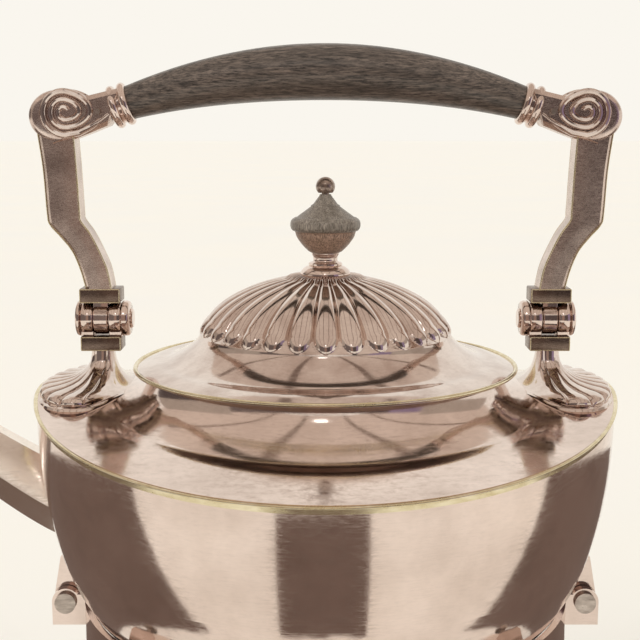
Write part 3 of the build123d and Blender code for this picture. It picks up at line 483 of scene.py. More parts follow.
def stretched(tree: bpy.types.NodeTree, grain: tuple[float, float, float] = (1, 1, 1),
              turn_deg: float = 0.0) -> bpy.types.NodeSocket:
    """Adds object coordinates stretched along a grain.

    Args:
        tree: the material's node tree.
        grain: how much finer the pattern gets along X, Y and Z.
        turn_deg: turn about Y.

    Returns:
        The socket that gives them.
    """
    coordinates = add_node(tree, "ShaderNodeTexCoord")
    mapping = add_node(tree, "ShaderNodeMapping", {0: coordinates.outputs["Object"]}, vector_type="POINT")
    mapping.inputs["Rotation"].default_value = (0, math.radians(turn_deg), 0)
    mapping.inputs["Scale"].default_value = grain
    return mapping.outputs[0]


def roughen(tree: bpy.types.NodeTree, shader: bpy.types.Node, pattern: bpy.types.NodeSocket,
            over: tuple[float, float], roughness: tuple[float, float]) -> None:
    """Lets a pattern vary a shader's roughness.

    Args:
        tree: the material's node tree.
        shader: its Principled shader.
        pattern: the socket that gives the pattern.
        over: values of the pattern between which the roughness changes.
        roughness: the roughness at those two.
    """
    spread = add_node(tree, "ShaderNodeMapRange", {0: pattern}, From_Min=over[0], From_Max=over[1],
                      To_Min=roughness[0], To_Max=roughness[1])
    tree.links.new(spread.outputs[0], shader.inputs["Roughness"])


def emboss(tree: bpy.types.NodeTree, shader: bpy.types.Node, pattern: bpy.types.NodeSocket, strength: float,
           depth_mm: float, invert: bool = False) -> None:
    """Lets a pattern raise a shader's surface.

    Args:
        tree: the material's node tree.
        shader: its Principled shader.
        pattern: the socket that gives the pattern.
        strength: how strongly it shows.
        depth_mm: height of the relief.
        invert: True sinks the surface instead.
    """
    bump = add_node(tree, "ShaderNodeBump", {"Height": pattern}, Strength=strength, Distance=depth_mm * MM,
                    invert=invert)
    tree.links.new(bump.outputs[0], shader.inputs["Normal"])


@dataclass(frozen=True)
class SilverPlate:
    """Electroplated silver over copper, buffed, then polished by hand for years.

    It mirrors its surroundings with a warm rose cast. Hairline scratches blur the mirror, and a thin brown
    tarnish gathers in patches.
    """
    name: str
    bright: str = "#ecdbd2"
    dull: str = "#d6c4ba"
    roughness: float = 0.06
    haze: float = 0.12            # how much the scratches blur the mirror
    grain: Grain = Grain.ROUND
    patch_mm: float = 22.0        # size of the tarnish patches
    scratch_mm: float = 0.7       # spacing of the hairlines: real ones are finer, and would not show
    scratch_depth: float = 0.02
    streak_turn: float = 7.0      # lean of the buffing streaks
    hair_turn: float = 38.0       # lean of the later scratches that cross them
    hair_grain: tuple[float, float, float] = (2.2, 2.2, 9.0)

    def build(self) -> bpy.types.Material:
        """Makes the material.

        Returns:
            The material.
        """
        material, tree, shader = new_material(self.name)
        patches = add_node(tree, "ShaderNodeTexNoise", {"Vector": stretched(tree)},
                           Scale=1 / (self.patch_mm * MM), Detail=5.0, Roughness=0.6)
        along = stretched(tree, self.grain.value, self.streak_turn)
        streaks = add_node(tree, "ShaderNodeTexNoise", {"Vector": along}, Scale=0.12 / (self.scratch_mm * MM),
                           Detail=6.0, Roughness=0.7)
        crossing = stretched(tree, self.hair_grain, self.hair_turn)
        hairs = add_node(tree, "ShaderNodeTexNoise", {"Vector": crossing}, Scale=0.15 / (self.scratch_mm * MM),
                         Detail=4.0, Roughness=0.75)
        marks = add_node(tree, "ShaderNodeMath", {0: streaks.outputs[0], 1: hairs.outputs[0]},
                         operation="MULTIPLY")
        tone = add_ramp(tree, patches.outputs[0], [(0.38, self.bright), (0.72, self.dull)])
        worn = add_ramp(tree, marks.outputs[0], [(0.20, 1.0), (0.42, 0.92)])
        colour = add_node(tree, "ShaderNodeMix", data_type="RGBA", blend_type="MULTIPLY")
        colour.inputs[0].default_value = 1.0
        tree.links.new(tone, colour.inputs[6])
        tree.links.new(worn, colour.inputs[7])
        tree.links.new(colour.outputs[2], shader.inputs["Base Color"])
        roughen(tree, shader, marks.outputs[0], (0.16, 0.38), (self.roughness, self.roughness + self.haze))
        emboss(tree, shader, marks.outputs[0], self.scratch_depth, 0.2)
        shader.inputs["Metallic"].default_value = 1.0
        return material


@dataclass(frozen=True)
class PlainMetal:
    """A solid metal, drawn, turned or cast, with a satin surface that has dulled unevenly."""
    name: str
    light: str
    dark: str
    roughness: float = 0.25
    haze: float = 0.18            # how much rougher the dull places are
    mottle_mm: float = 6.0

    def build(self) -> bpy.types.Material:
        """Makes the material.

        Returns:
            The material.
        """
        material, tree, shader = new_material(self.name)
        mottle = add_node(tree, "ShaderNodeTexNoise", {"Vector": stretched(tree, (1, 1, 3))},
                          Scale=1 / (self.mottle_mm * MM), Detail=6.0, Roughness=0.65)
        tone = add_ramp(tree, mottle.outputs[0], [(0.35, self.light), (0.70, self.dark)])
        tree.links.new(tone, shader.inputs["Base Color"])
        roughen(tree, shader, mottle.outputs[0], (0.3, 0.7), (self.roughness, self.roughness + self.haze))
        shader.inputs["Metallic"].default_value = 1.0
        return material


@dataclass(frozen=True)
class TurnedWood:
    """A dense hardwood turned on the lathe, its pores filled with old polish and dirt."""
    name: str
    light: str
    dark: str
    pore: str
    grain: Grain
    pore_mm: float = 0.5
    roughness: float = 0.42
    coat: float = 0.25
    relief: float = 0.35

    def build(self) -> bpy.types.Material:
        """Makes the material.

        Returns:
            The material.
        """
        material, tree, shader = new_material(self.name)
        along = stretched(tree, self.grain.value)
        figure = add_node(tree, "ShaderNodeTexNoise", {"Vector": along}, Scale=60.0, Detail=5.0, Roughness=0.6)
        pores = add_node(tree, "ShaderNodeTexNoise", {"Vector": along}, Scale=0.11 / (self.pore_mm * MM),
                         Detail=3.0, Roughness=0.8)
        tone = add_ramp(tree, figure.outputs[0], [(0.33, self.light), (0.68, self.dark)])
        holes = add_ramp(tree, pores.outputs[0], [(0.40, 0.0), (0.62, 1.0)])
        colour = add_node(tree, "ShaderNodeMix", data_type="RGBA")
        tree.links.new(holes, colour.inputs[0])
        tree.links.new(tone, colour.inputs[6])
        colour.inputs[7].default_value = linear(self.pore)
        tree.links.new(colour.outputs[2], shader.inputs["Base Color"])
        roughen(tree, shader, pores.outputs[0], (0.3, 0.7), (self.roughness - 0.08, self.roughness + 0.2))
        emboss(tree, shader, pores.outputs[0], self.relief, 0.25, invert=True)
        shader.inputs["Coat Weight"].default_value = self.coat
        shader.inputs["Coat Roughness"].default_value = 0.25
        shader.inputs["IOR"].default_value = 1.5
        return material


@dataclass(frozen=True)
class BraidedCotton:
    """Undyed cotton yarn braided into a round wick."""
    name: str = "braided_cotton_wick"
    yarn: str = "#e6dcc8"
    gap: str = "#b39f80"
    yarn_mm: float = 0.9
    turns: tuple[float, float] = (35, -35)        # lean of the two sets of yarn

    def build(self) -> bpy.types.Material:
        """Makes the material.

        Returns:
            The material.
        """
        material, tree, shader = new_material(self.name)
        bands = [add_node(tree, "ShaderNodeTexWave", {"Vector": stretched(tree, turn_deg=turn)},
                          Scale=0.16 / (self.yarn_mm * MM), Distortion=1.0) for turn in self.turns]
        weave = add_node(tree, "ShaderNodeMath", {0: bands[0].outputs[1], 1: bands[1].outputs[1]},
                         operation="MULTIPLY")
        tone = add_ramp(tree, weave.outputs[0], [(0.05, self.gap), (0.5, self.yarn)])
        tree.links.new(tone, shader.inputs["Base Color"])
        emboss(tree, shader, weave.outputs[0], 0.6, 0.3)
        shader.inputs["Roughness"].default_value = 0.9
        shader.inputs["Sheen Weight"].default_value = 0.4
        return material


class Finishes:
    """Every finish of the kettle, made once."""

    def __init__(self) -> None:
        """Builds the materials."""
        self.plate = SilverPlate("silver_plate_buffed").build()
        self.plate_flat = SilverPlate("silver_plate_scratched", roughness=0.14, haze=0.20, scratch_mm=0.35,
                                      dull="#bda79e", patch_mm=7.0, scratch_depth=0.05).build()
        self.plate_worn = SilverPlate("silver_plate_worn", bright="#dfcdc3", dull="#b5a39a", roughness=0.16,
                                      haze=0.24, scratch_mm=0.3, patch_mm=9.0, scratch_depth=0.08).build()
        # painted dark reflection: a darker copy of the silver plate for the hinge blocks, standing in for the dim
        # front that their faces mirror
        self.plate_painted_dark = SilverPlate("silver_plate_painted_dark_reflection", bright="#8f7d72", dull="#6b5a50", roughness=0.20,
                                      haze=0.20, scratch_mm=0.3, patch_mm=6.0).build()
        self.plate_under = SilverPlate("silver_plate_unpolished", bright="#e6dbd2", dull="#cfc2b8", roughness=0.48,
                                       haze=0.12).build()
        # painted pale reflection: a lighter copy of the silver plate for the spout, a little rougher, so that its
        # faces read pale
        self.plate_painted_pale = SilverPlate("silver_plate_satin_painted_pale", bright="#faf1e8", dull="#eee0d4", roughness=0.10,
                                       haze=0.14).build()
        self.plate_crest = SilverPlate("silver_plate_chased", roughness=0.05, haze=0.10, patch_mm=12.0,
                                       bright="#e6d8d0", dull="#c6b3aa").build()
        self.worn_edge = PlainMetal("brass_worn_through_plate", "#efe5c9", "#d6c79e", roughness=0.14).build()
        self.pin = PlainMetal("nickel_pin_drawn", "#cfc4bb", "#8f837b", roughness=0.24).build()
        self.ball = PlainMetal("brass_ball_tarnished", "#b8a79d", "#7a6a60", roughness=0.22, mottle_mm=3.0).build()
        self.brass = PlainMetal("brass_turned_satin", "#e0c282", "#b08f55", roughness=0.26).build()
        self.knob = TurnedWood("hardwood_knob_weathered", "#a79b8f", "#7d7266", "#4c443c", Grain.UPRIGHT,
                               pore_mm=0.3).build()
        self.knob_bowl = TurnedWood("hardwood_knob_reddish", "#bc9a86", "#957a67", "#5e4a3e", Grain.UPRIGHT,
                                    pore_mm=0.3).build()
        self.grip = TurnedWood("hardwood_grip_ebonised", "#75665c", "#4c4139", "#28211d", Grain.ACROSS,
                               roughness=0.36, coat=0.4).build()
        self.cotton = BraidedCotton().build()


def dress(piece: bpy.types.Object, material: bpy.types.Material) -> bpy.types.Object:
    """Gives a piece one material.

    Args:
        piece: the mesh object.
        material: its finish.

    Returns:
        The same object.
    """
    piece.data.materials.clear()
    piece.data.materials.append(material)
    return piece


# ---- the studio ----------------------------------------------------------------------------------
class Ray(Enum):
    """Kinds of light path that a card is hidden from, so that only the silver shows it."""
    CAMERA = "visible_camera"
    DIFFUSE = "visible_diffuse"
    TRANSMISSION = "visible_transmission"
    VOLUME = "visible_volume_scatter"
    SHADOW = "visible_shadow"


@dataclass
class Studio:
    """A pale table in a white room, with the grey ceiling and the dim front that polished silver picks up.

    Lengths are in metres. Bearings are in degrees about the kettle's axis, 0 being the camera's side and + the
    right.
    """
    wall: str = "#faf6ee"
    table: str = "#f5f3ef"
    table_light: str = "#f7f4ee"
    table_size: float = 60.0
    ceiling: str = "#d8c8ba"
    beam: str = "#86756a"
    dim: str = "#766b67"
    deep: str = "#5c5250"
    warm: str = "#9c8478"
    violet: str = "#94849c"
    side: str = "#b3a79b"
    mat: str = "#75645b"
    window: str = "#ffffff"
    radius: float = 0.95          # distance of the screens from the kettle's axis
    diffuse_level: float = 0.86   # how bright the room is to matt surfaces
    ceiling_z: float = 1.8
    ceiling_x: float = 2.8        # half its width
    ceiling_y: tuple[float, float] = (-2.45, 1.65)
    beams: Profile = ((-1.5, -0.9), (-0.55, -0.2), (0.5, 0.35), (1.3, 1.1))       # X of each at its two ends
    beam_w: tuple[float, float] = (0.09, 0.07)
    beam_z: float = 1.78
    beam_far: float = 1.5
    front: tuple[float, float] = (0.05, 0.72)     # lower and upper edge of the dim front
    mat_z: float = 0.002
    panel_deg: float = 10.0       # width of one flat panel of a curved screen
    lens: tuple[float, float] = (67.5, 36.0)      # focal length and sensor's width, in millimetres
    view_from: Point = (-1.7, -376.0, 79.0)       # in millimetres about the axis and rim
    view_down: float = 8.997      # tilt of the camera in degrees

    def world(self) -> None:
        """Makes white surroundings, a little weaker on matt surfaces than to the eye and in the silver."""
        world = bpy.data.worlds.new("white_room")
        bpy.context.scene.world = world
        world.use_nodes = True
        tree = world.node_tree
        paths = add_node(tree, "ShaderNodeLightPath")
        seen = add_node(tree, "ShaderNodeMath", {0: paths.outputs["Is Camera Ray"],
                                                 1: paths.outputs["Is Glossy Ray"]}, operation="MAXIMUM")
        seen = add_node(tree, "ShaderNodeMath", {0: seen.outputs[0],
                                                 1: paths.outputs["Is Transmission Ray"]}, operation="MAXIMUM")
        level = add_node(tree, "ShaderNodeMapRange", {0: seen.outputs[0]}, To_Min=self.diffuse_level, To_Max=1.0)
        background = tree.nodes["Background"]
        background.inputs[0].default_value = linear(self.wall)
        tree.links.new(level.outputs[0], background.inputs[1])

    def floor(self) -> None:
        """Lays a table top far larger than the object, which keeps its shadow."""
        deselect_all()
        bpy.ops.mesh.primitive_plane_add(size=self.table_size, location=(0, 0, 0))
        piece = named(bpy.context.object, "table_top")
        material, tree, shader = new_material("table_matt_paint")
        noise = add_node(tree, "ShaderNodeTexNoise", {"Vector": stretched(tree)}, Scale=3.0)
        tone = add_ramp(tree, noise.outputs[0], [(0.3, self.table), (0.7, self.table_light)])
        tree.links.new(tone, shader.inputs["Base Color"])
        shader.inputs["Roughness"].default_value = 0.9
        dress(piece, material)

    def card(self, name: str, corners: Sequence[Point], colour: str, strength: float = 1.0) -> None:
        """Hangs up a card that only the silver sees.

        Args:
            name: the card's name.
            corners: its four corners, in order round its edge.
            colour: what it shows.
            strength: brightness.
        """
        deselect_all()
        bpy.ops.mesh.primitive_plane_add(size=1.0)
        piece = named(bpy.context.object, name)
        for index, corner in zip((0, 1, 3, 2), corners):
            piece.data.vertices[index].co = corner
        piece.data.update()
        material = bpy.data.materials.new(name)
        material.use_nodes = True
        tree = material.node_tree
        tree.nodes.remove(tree.nodes["Principled BSDF"])
        glow = add_node(tree, "ShaderNodeEmission", Strength=strength)
        glow.inputs[0].default_value = linear(colour)
        tree.links.new(glow.outputs[0], tree.nodes["Material Output"].inputs[0])
        piece.data.materials.append(material)
        for ray in Ray:
            setattr(piece, ray.value, False)

    def screen(self, name: str, turns: tuple[float, float], heights: tuple[float, float], colour: str,
               radius: float | None = None, strength: float = 1.0) -> None:
        """Sets up a curved screen round the kettle, in flat upright panels.

        Args:
            name: the screen's name.
            turns: first and last bearing.
            heights: its lower and upper edge.
            colour: what it shows.
            radius: distance from the kettle's axis, where it isn't the usual one.
            strength: brightness.
        """
        reach = radius or self.radius
        panels = max(1, round((turns[1] - turns[0]) / self.panel_deg))
        spots = []
        for i in range(panels + 1):
            turn = math.radians(turns[0] + (turns[1] - turns[0]) * i / panels)
            spots.append((AXIS_X + reach * math.sin(turn), -reach * math.cos(turn)))
        for i, (near, far) in enumerate(zip(spots, spots[1:])):
            corners = [(*near, heights[0]), (*far, heights[0]), (*far, heights[1]), (*near, heights[1])]
            self.card(f"{name}_{i}", corners, colour, strength)

    def ring_mat(self, name: str, turns: tuple[float, float], reach: tuple[float, float], colour: str,
                 far_turns: tuple[float, float] | None = None) -> None:
        """Lays a dim mat on the table.

        Args:
            name: the mat's name.
            turns: its bearings at the near edge.
            reach: distance of its near and far edges from the kettle's axis.
            colour: its colour.
            far_turns: its bearings at the far edge, where they differ.
        """
        far_turns = far_turns or turns
        panels = max(1, round((turns[1] - turns[0]) / self.panel_deg))
        for i in range(panels):
            near, far = ([math.radians(low + (high - low) * (i + k) / panels) for k in (0, 1)]
                         for low, high in (turns, far_turns))
            spots = ((near[0], reach[0]), (near[1], reach[0]), (far[1], reach[1]), (far[0], reach[1]))
            corners = [(AXIS_X + r * math.sin(t), -r * math.cos(t), self.mat_z) for t, r in spots]
            self.card(f"{name}_{i}", corners, colour)

    def surroundings(self) -> None:
        """Hangs up the cards: ceiling, dim front with its window, sides and mats."""
        x, (y0, y1), z = self.ceiling_x, self.ceiling_y, self.ceiling_z
        self.card("ceiling", [(-x, y0, z), (x, y0, z), (x, y1, z), (-x, y1, z)], self.ceiling)
        for i, (near, far) in enumerate(self.beams):
            self.card(f"beam_{i}", [(near, y0, self.beam_z), (near + self.beam_w[0], y0, self.beam_z),
                                    (far + self.beam_w[1], self.beam_far, self.beam_z),
                                    (far, self.beam_far, self.beam_z)], self.beam)
        for name, turns, colour in (("left", (-62, -13), self.dim), ("warm", (-13, 9), self.warm),
                                    ("deep", (9, 40), self.deep), ("violet", (40, 62), self.violet)):
            self.screen(f"front_{name}", turns, self.front, colour)
        self.screen("side_left", (-126, -62), (0.20, 0.82), self.side)
        self.screen("side_left_low", (-126, -86), (0.22, 0.48), self.deep, radius=0.94)
        self.screen("side_right", (62, 118), (0.46, 0.82), self.side)
        self.screen("window", (-7.0, 1.0), (0.90, 1.04), self.window, radius=0.92, strength=4.0)
        self.ring_mat("mat_left", (-146, -46), (0.17, 0.66), self.mat, far_turns=(-146, -74))
        self.ring_mat("mat_right", (56, 146), (0.17, 0.66), self.mat, far_turns=(88, 146))
        self.ring_mat("mat_front", (-17, 15), (0.17, 0.50), self.mat)

    def lamps(self) -> None:
        """Hangs a broad soft lamp high on the left and a weak one on the right, which the silver doesn't mirror."""
        for name, turn, power, spread in (("key", (48, 0, -35), 0.85, 50), ("fill", (55, 0, 60), 0.25, 80)):
            light = bpy.data.lights.new(name, "SUN")
            light.energy, light.angle, light.color = power, math.radians(spread), (1.0, 0.985, 0.96)
            lamp = bpy.data.objects.new(name, light)
            bpy.context.scene.collection.objects.link(lamp)
            lamp.rotation_euler = [math.radians(angle) for angle in turn]
            lamp.visible_glossy = False

    def camera(self) -> None:
        """Puts the camera close to the kettle and a little above it."""
        data = bpy.data.cameras.new("camera")
        data.lens, data.sensor_width = self.lens
        data.clip_start, data.clip_end = 0.01, 100.0
        view = bpy.data.objects.new("camera", data)
        bpy.context.scene.collection.objects.link(view)
        view.location = place(*self.view_from)
        view.rotation_euler = (math.radians(90 - self.view_down), 0, 0)
        bpy.context.scene.camera = view

    def build(self) -> None:
        """Sets everything up."""
        bpy.context.scene.view_settings.view_transform = "Standard"
        self.world()
        self.floor()
        self.surroundings()
        self.lamps()
        self.camera()


# ---- the lid -------------------------------------------------------------------------------------
@dataclass
class FlutedLid:
    """The domed lid: lobes run from the finial down to round noses, over a plain wall that flares to the edge.

    Lengths are in millimetres about the axis and rim. Places on the dome are in degrees up its oval.
    """
    body: str = "lid"
    lobes: int = 30
    steps: int = 16               # points across one lobe
    lobe_share: float = 0.58      # a lobe's height as a share of half its width
    dome_from: float = 7.2
    dome_to: float = 86.0
    ring_steps: Profile = ((15.0, 0.45), (21.0, 0.9), (90.0, 2.6))        # up to this place, from ring to ring
    plain_to: float = 2.4         # height over the dome's foot up to which it has no lobes
    nose_at: float = 7.6          # where the noses end
    nose_long: float = 16.0
    nose_curve: tuple[float, float] = (0.8, 0.25)         # power of the crest's curve, and what it loses up the nose
    valley_long: float = 14.0     # over this the valleys between the lobes get their full depth
    valley_curve: float = 0.8
    petal_to: float = 12.6        # radius to which the short inner petals reach
    petal_fade: float = 1.6
    petal_lift: float = 0.9
    petal_round: float = 0.98
    dome_r: float = 40.0
    dome_foot: float = 13.0
    dome_h: float = 21.2
    wall: float = 1.1
    edge_r: float = 60.0
    edge_z: float = 5.6
    edge_wire: float = 0.62
    wire_sides: int = 256
    under_from: float = 47.0      # the underside is left unpolished beyond this radius
    flare: Profile = (
        (59.9, 4.8), (60.1, 5.2), (59.7, 5.55), (58.8, 5.85), (57.6, 6.25), (56.4, 6.63), (55.2, 6.98), (54.2, 7.22),
        (53.3, 7.36), (52.4, 7.44), (51.5, 7.52), (50.6, 7.66), (49.7, 7.9), (48.8, 8.25), (47.6, 8.8), (46.3, 9.5),
        (45.0, 10.28), (43.8, 11.05), (42.7, 11.85), (41.8, 12.6), (41.1, 13.3), (40.6, 13.9), (40.2, 14.5),
        (39.95, 14.95), (39.8, 15.35))

    def profile(self) -> list[tuple[float, float]]:
        """Works out the lid's outer profile.

        Returns:
            Its points from the edge to the rod's hole, closest together over the noses.
        """
        points = list(self.flare)
        turn = self.dome_from
        while turn < self.dome_to:
            angle = math.radians(turn)
            points.append((self.dome_r * math.cos(angle), self.dome_foot + self.dome_h * math.sin(angle)))
            turn += next(step for to, step in self.ring_steps if turn < to)
        return points

    def lobe_shape(self, spot: Vector) -> Vector:
        """Raises or sinks one point of the dome as the lobe that it lies on asks.

        Args:
            spot: the point on the plain dome.

        Returns:
            Its place on the lobe.
        """
        radius = math.hypot(spot.x, spot.y)
        up = spot.z - self.dome_foot
        if up <= self.plain_to:
            return spot
        turn = math.degrees(math.asin(min(1.0, up / self.dome_h)))
        bearing = (math.atan2(spot.y, spot.x) / (2 * math.pi) + 0.25) * self.lobes
        across = (bearing + 0.5) % 1.0 * 2 - 1
        height = self.lobe_share * math.pi * radius / self.lobes
        long_way = fade_in(turn, self.nose_at, self.nose_long)
        width = math.sqrt(1 - (1 - long_way) ** 2)
        ridge = max(0.0, width ** 2 - across ** 2) ** (self.nose_curve[0] - self.nose_curve[1] * long_way)
        sunk = fade_in(turn, self.nose_at, self.valley_long) ** self.valley_curve
        if radius < self.petal_to:
            petal = fade_in(self.petal_to - radius, 0.0, self.petal_fade)
            crest = math.sqrt(1 - (2 * abs(across) - 1) ** 2 * self.petal_round)
            ridge = crest * math.sqrt(1 - (1 - petal) ** 2) + self.petal_lift
        out = Vector((spot.x, spot.y, 0)).normalized() * math.cos(math.radians(turn))
        normal = (out + Vector((0, 0, math.sin(math.radians(turn))))).normalized()
        return spot + normal * height * (ridge - sunk)

    def build(self, finishes: Finishes) -> list[bpy.types.Object]:
        """Turns, chases and dresses the lid and the wire on its edge.

        Args:
            finishes: the kettle's finishes.

        Returns:
            The lid's pieces.
        """
        lid = lathe("fluted_lid", self.profile(), self.steps * self.lobes)
        shape_vertices(lid, self.lobe_shape)
        settle(thicken(lid, self.wall), SOFT_DEG, outward=False)
        dress(lid, finishes.plate_crest)
        lid.data.materials.append(finishes.plate_under)
        for face in lid.data.polygons:
            reach = math.hypot(face.center.x - AXIS_X, face.center.y)
            face.material_index = int(face.normal.z < 0 and reach > self.under_from * MM)
        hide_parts("lid_shell")
        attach(lid, self.body)

        turns = [math.radians(30 * i) for i in range(13)]
        ring = [(self.edge_r + self.edge_wire * math.cos(t), self.edge_z + self.edge_wire * math.sin(t))
                for t in turns]
        wire = lathe("lid_edge_wire", ring, self.wire_sides)
        dress(settle(wire, SOFT_DEG), finishes.worn_edge)
        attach(wire, self.body)
        return [lid, wire]


@dataclass
class Finial:
    """The lid's finial: a turned wooden urn on a moulded silver foot."""
    body: str = "lid"
    bore: float = 1.3
    sides: int = 96
    smooth_deg: float = 40.0
    urn_to: float = 47.7          # the urn's reddish bowl ends below its collar
    urn: Profile = ((4.4, 41.0), (5.2, 41.4), (6.0, 42.1), (6.8, 42.9), (7.5, 43.7), (8.15, 44.6), (8.7, 45.4),
                    (9.1, 46.1), (9.35, 46.9), (9.5, 47.5), (9.7, 47.8), (10.3, 48.0), (10.8, 48.6), (11.0, 49.4),
                    (11.0, 50.2), (10.8, 51.0), (10.3, 51.6), (9.9, 51.75), (9.75, 51.95), (9.5, 52.0), (9.0, 52.1),
                    (7.8, 53.05), (6.6, 53.9), (5.4, 54.8), (4.6, 55.4), (4.5, 55.8), (4.2, 55.95), (3.7, 56.3),
                    (3.0, 57.3), (2.3, 58.2), (1.9, 58.8), (1.75, 59.2))
    foot: Profile = ((4.3, 41.0), (4.4, 40.7), (4.2, 40.2), (3.9, 39.7), (3.8, 39.0), (3.9, 38.4), (4.2, 38.1),
                     (4.9, 37.95), (5.3, 37.65), (5.3, 37.2), (5.1, 37.0), (5.4, 36.85), (6.1, 36.6), (6.9, 36.05),
                     (7.5, 35.4), (7.85, 34.7), (7.9, 34.1), (7.6, 33.6), (7.0, 33.2))

    def turned(self, name: str, outline: Profile) -> bpy.types.Object:
        """Turns a piece with the tie rod's bore through it.

        Args:
            name: the piece's name.
            outline: its outer profile, from one end to the other.

        Returns:
            The piece.
        """
        ends = [(self.bore, outline[0][1]), (self.bore, outline[-1][1])]
        return settle(lathe(name, [ends[0], *outline, ends[1], ends[0]], self.sides), self.smooth_deg)

    def build(self, finishes: Finishes) -> list[bpy.types.Object]:
        """Turns and dresses the finial.

        Args:
            finishes: the kettle's finishes.

        Returns:
            The urn and its foot.
        """
        urn = dress(self.turned("turned_urn", self.urn), finishes.knob)
        urn.data.materials.append(finishes.knob_bowl)
        for face in urn.data.polygons:
            face.material_index = int(face.center.z < RIM_Z + self.urn_to * MM)
        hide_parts("finial_knob")
        foot = dress(self.turned("moulded_finial_foot", self.foot), finishes.plate)
        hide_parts("finial_base")
        for piece in (urn, foot):
            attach(piece, self.body)
        return [urn, foot]


# ---- the kettle's shoulder, neck and rim ---------------------------------------------------------
def shoulder_drop(y: float) -> float:
    """Works out the arch of the shoulder: a round ridge, then a straight slope to the front and the back.

    Args:
        y: distance in front of the ridge or behind it, in millimetres.

    Returns:
        How far the shoulder lies below the kettle's rim level there, in millimetres.
    """
    ridge, slope, half, roundness = 1.2, 0.1263, 18.8, 300.0
    away = abs(y)
    return ridge + (away ** 2 / roundness if away < half else half ** 2 / roundness + (away - half) * slope)


@dataclass
class Shoulder:
    """The arched shoulder, which sweeps up into the neck, and the moulded rim."""
    body: str = "kettle"
    sides: int = 288
    rim_r: float = 90.0
    wall: float = 1.2
    # radius, height in front of or behind the axis, height at the sides
    section: tuple[tuple[float, float, float], ...] = (
        (51.0, 3.2, 3.2), (51.4, 4.4, 4.4), (52.4, 4.95, 4.95), (54.4, 4.9, 4.9), (55.4, 4.5, 4.5),
        (55.9, 3.9, 3.9), (56.2, 3.1, 3.1), (56.6, 2.1, 2.3), (57.1, 1.0, 1.6), (57.8, -0.3, 0.9),
        (58.7, -1.55, 0.35), (59.8, -2.75, -0.1), (61.1, -3.88, -0.4), (62.6, -4.9, -0.65), (64.2, -5.82, -0.8),
        (65.9, -6.68, -0.95), (67.7, -7.52, -1.05), (69.5, -8.3, -1.15), (70.4, -8.58, -1.2),
        (71.4, -8.78, -1.2), (73.4, -9.06, -1.2), (75.0, -9.36, -1.2), (76.0, -9.6, -1.2), (77.4, -9.95, -1.2),
        (79.2, -10.38, -1.2), (81.2, -10.84, -1.2), (83.6, -11.37, -1.2), (86.5, -12.0, -1.2),
        (90.0, -12.75, -1.2))
    rim: Profile = ((89.7, 0.1), (90.1, 0.25), (90.5, 0.28), (90.8, 0.15), (90.95, -0.05), (90.9, -0.3),
                    (90.6, -0.45), (90.2, -0.6), (90.05, -1.9), (89.7, -2.0), (89.6, -0.9))
    rim_dip: float = 1.9          # how much lower the rim runs in front than the CAD's band

    def height(self, row: int, turn: float) -> float:
        """Works out the height of one ring of the sheet at a bearing.

        Args:
            row: the ring's number in the section.
            turn: the bearing, 0 being +X.

        Returns:
            The height above the rim level in millimetres.
        """
        radius, front, flank = self.section[row]
        share = ((shoulder_drop(radius * math.sin(turn)) - shoulder_drop(0))
                 / (shoulder_drop(radius) - shoulder_drop(0)))
        return flank + (front - flank) * share

    def sheet(self) -> bpy.types.Object:
        """Models the sheet from the mouth of the neck to the rim.

        Returns:
            The sheet.
        """
        def rule(row: int, index: int) -> Point:
            """Places one point of the sheet.

            Args:
                row: the ring.
                index: the point's number round it.

            Returns:
                The point.
            """
            turn = 2 * math.pi * index / self.sides
            radius = self.section[row][0]
            return (radius * math.cos(turn), radius * math.sin(turn), self.height(row, turn))

        piece = sleeve("shoulder_and_neck", len(self.section), self.sides, rule, capped=False)
        return settle(thicken(piece, self.wall, near=(75, 0, -1)), SOFT_DEG, outward=False)

    def round_rim(self, name: str, ring: Profile) -> bpy.types.Object:
        """Carries a closed moulding round the arched rim.

        Args:
            name: the moulding's name.
            ring: its section as (radius, height above the shoulder's edge).

        Returns:
            The moulding.
        """
        deselect_all()
        bpy.ops.mesh.primitive_torus_add(major_segments=self.sides, minor_segments=len(ring),
                                         major_radius=1.0, minor_radius=0.25)
        piece = named(bpy.context.object, name)
        for vertex in piece.data.vertices:
            turn = math.atan2(vertex.co.y, vertex.co.x)
            around = math.atan2(vertex.co.z, math.hypot(vertex.co.x, vertex.co.y) - 1) / (2 * math.pi)
            radius, up = ring[-round(around * len(ring)) % len(ring)]
            drop = shoulder_drop(self.rim_r * math.sin(turn))
            drop += self.rim_dip * (drop - shoulder_drop(0)) / (shoulder_drop(self.rim_r) - shoulder_drop(0))
            vertex.co = place(radius * math.cos(turn), radius * math.sin(turn), up - drop)
        piece.data.update()
        return settle(piece, SOFT_DEG)

    def build(self, finishes: Finishes) -> list[bpy.types.Object]:
        """Models and dresses the shoulder and its rim, whose plate is worn through to the brass.

        Args:
            finishes: the kettle's finishes.

        Returns:
            The pieces.
        """
        sheet = dress(self.sheet(), finishes.plate)
        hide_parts("shoulder_plate", "neck_ring")
        rim = dress(self.round_rim("rim_moulding", self.rim), finishes.worn_edge)
        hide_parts("rim_band")
        pieces = [sheet, rim]
        for piece in pieces:
            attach(piece, self.body)
        return pieces


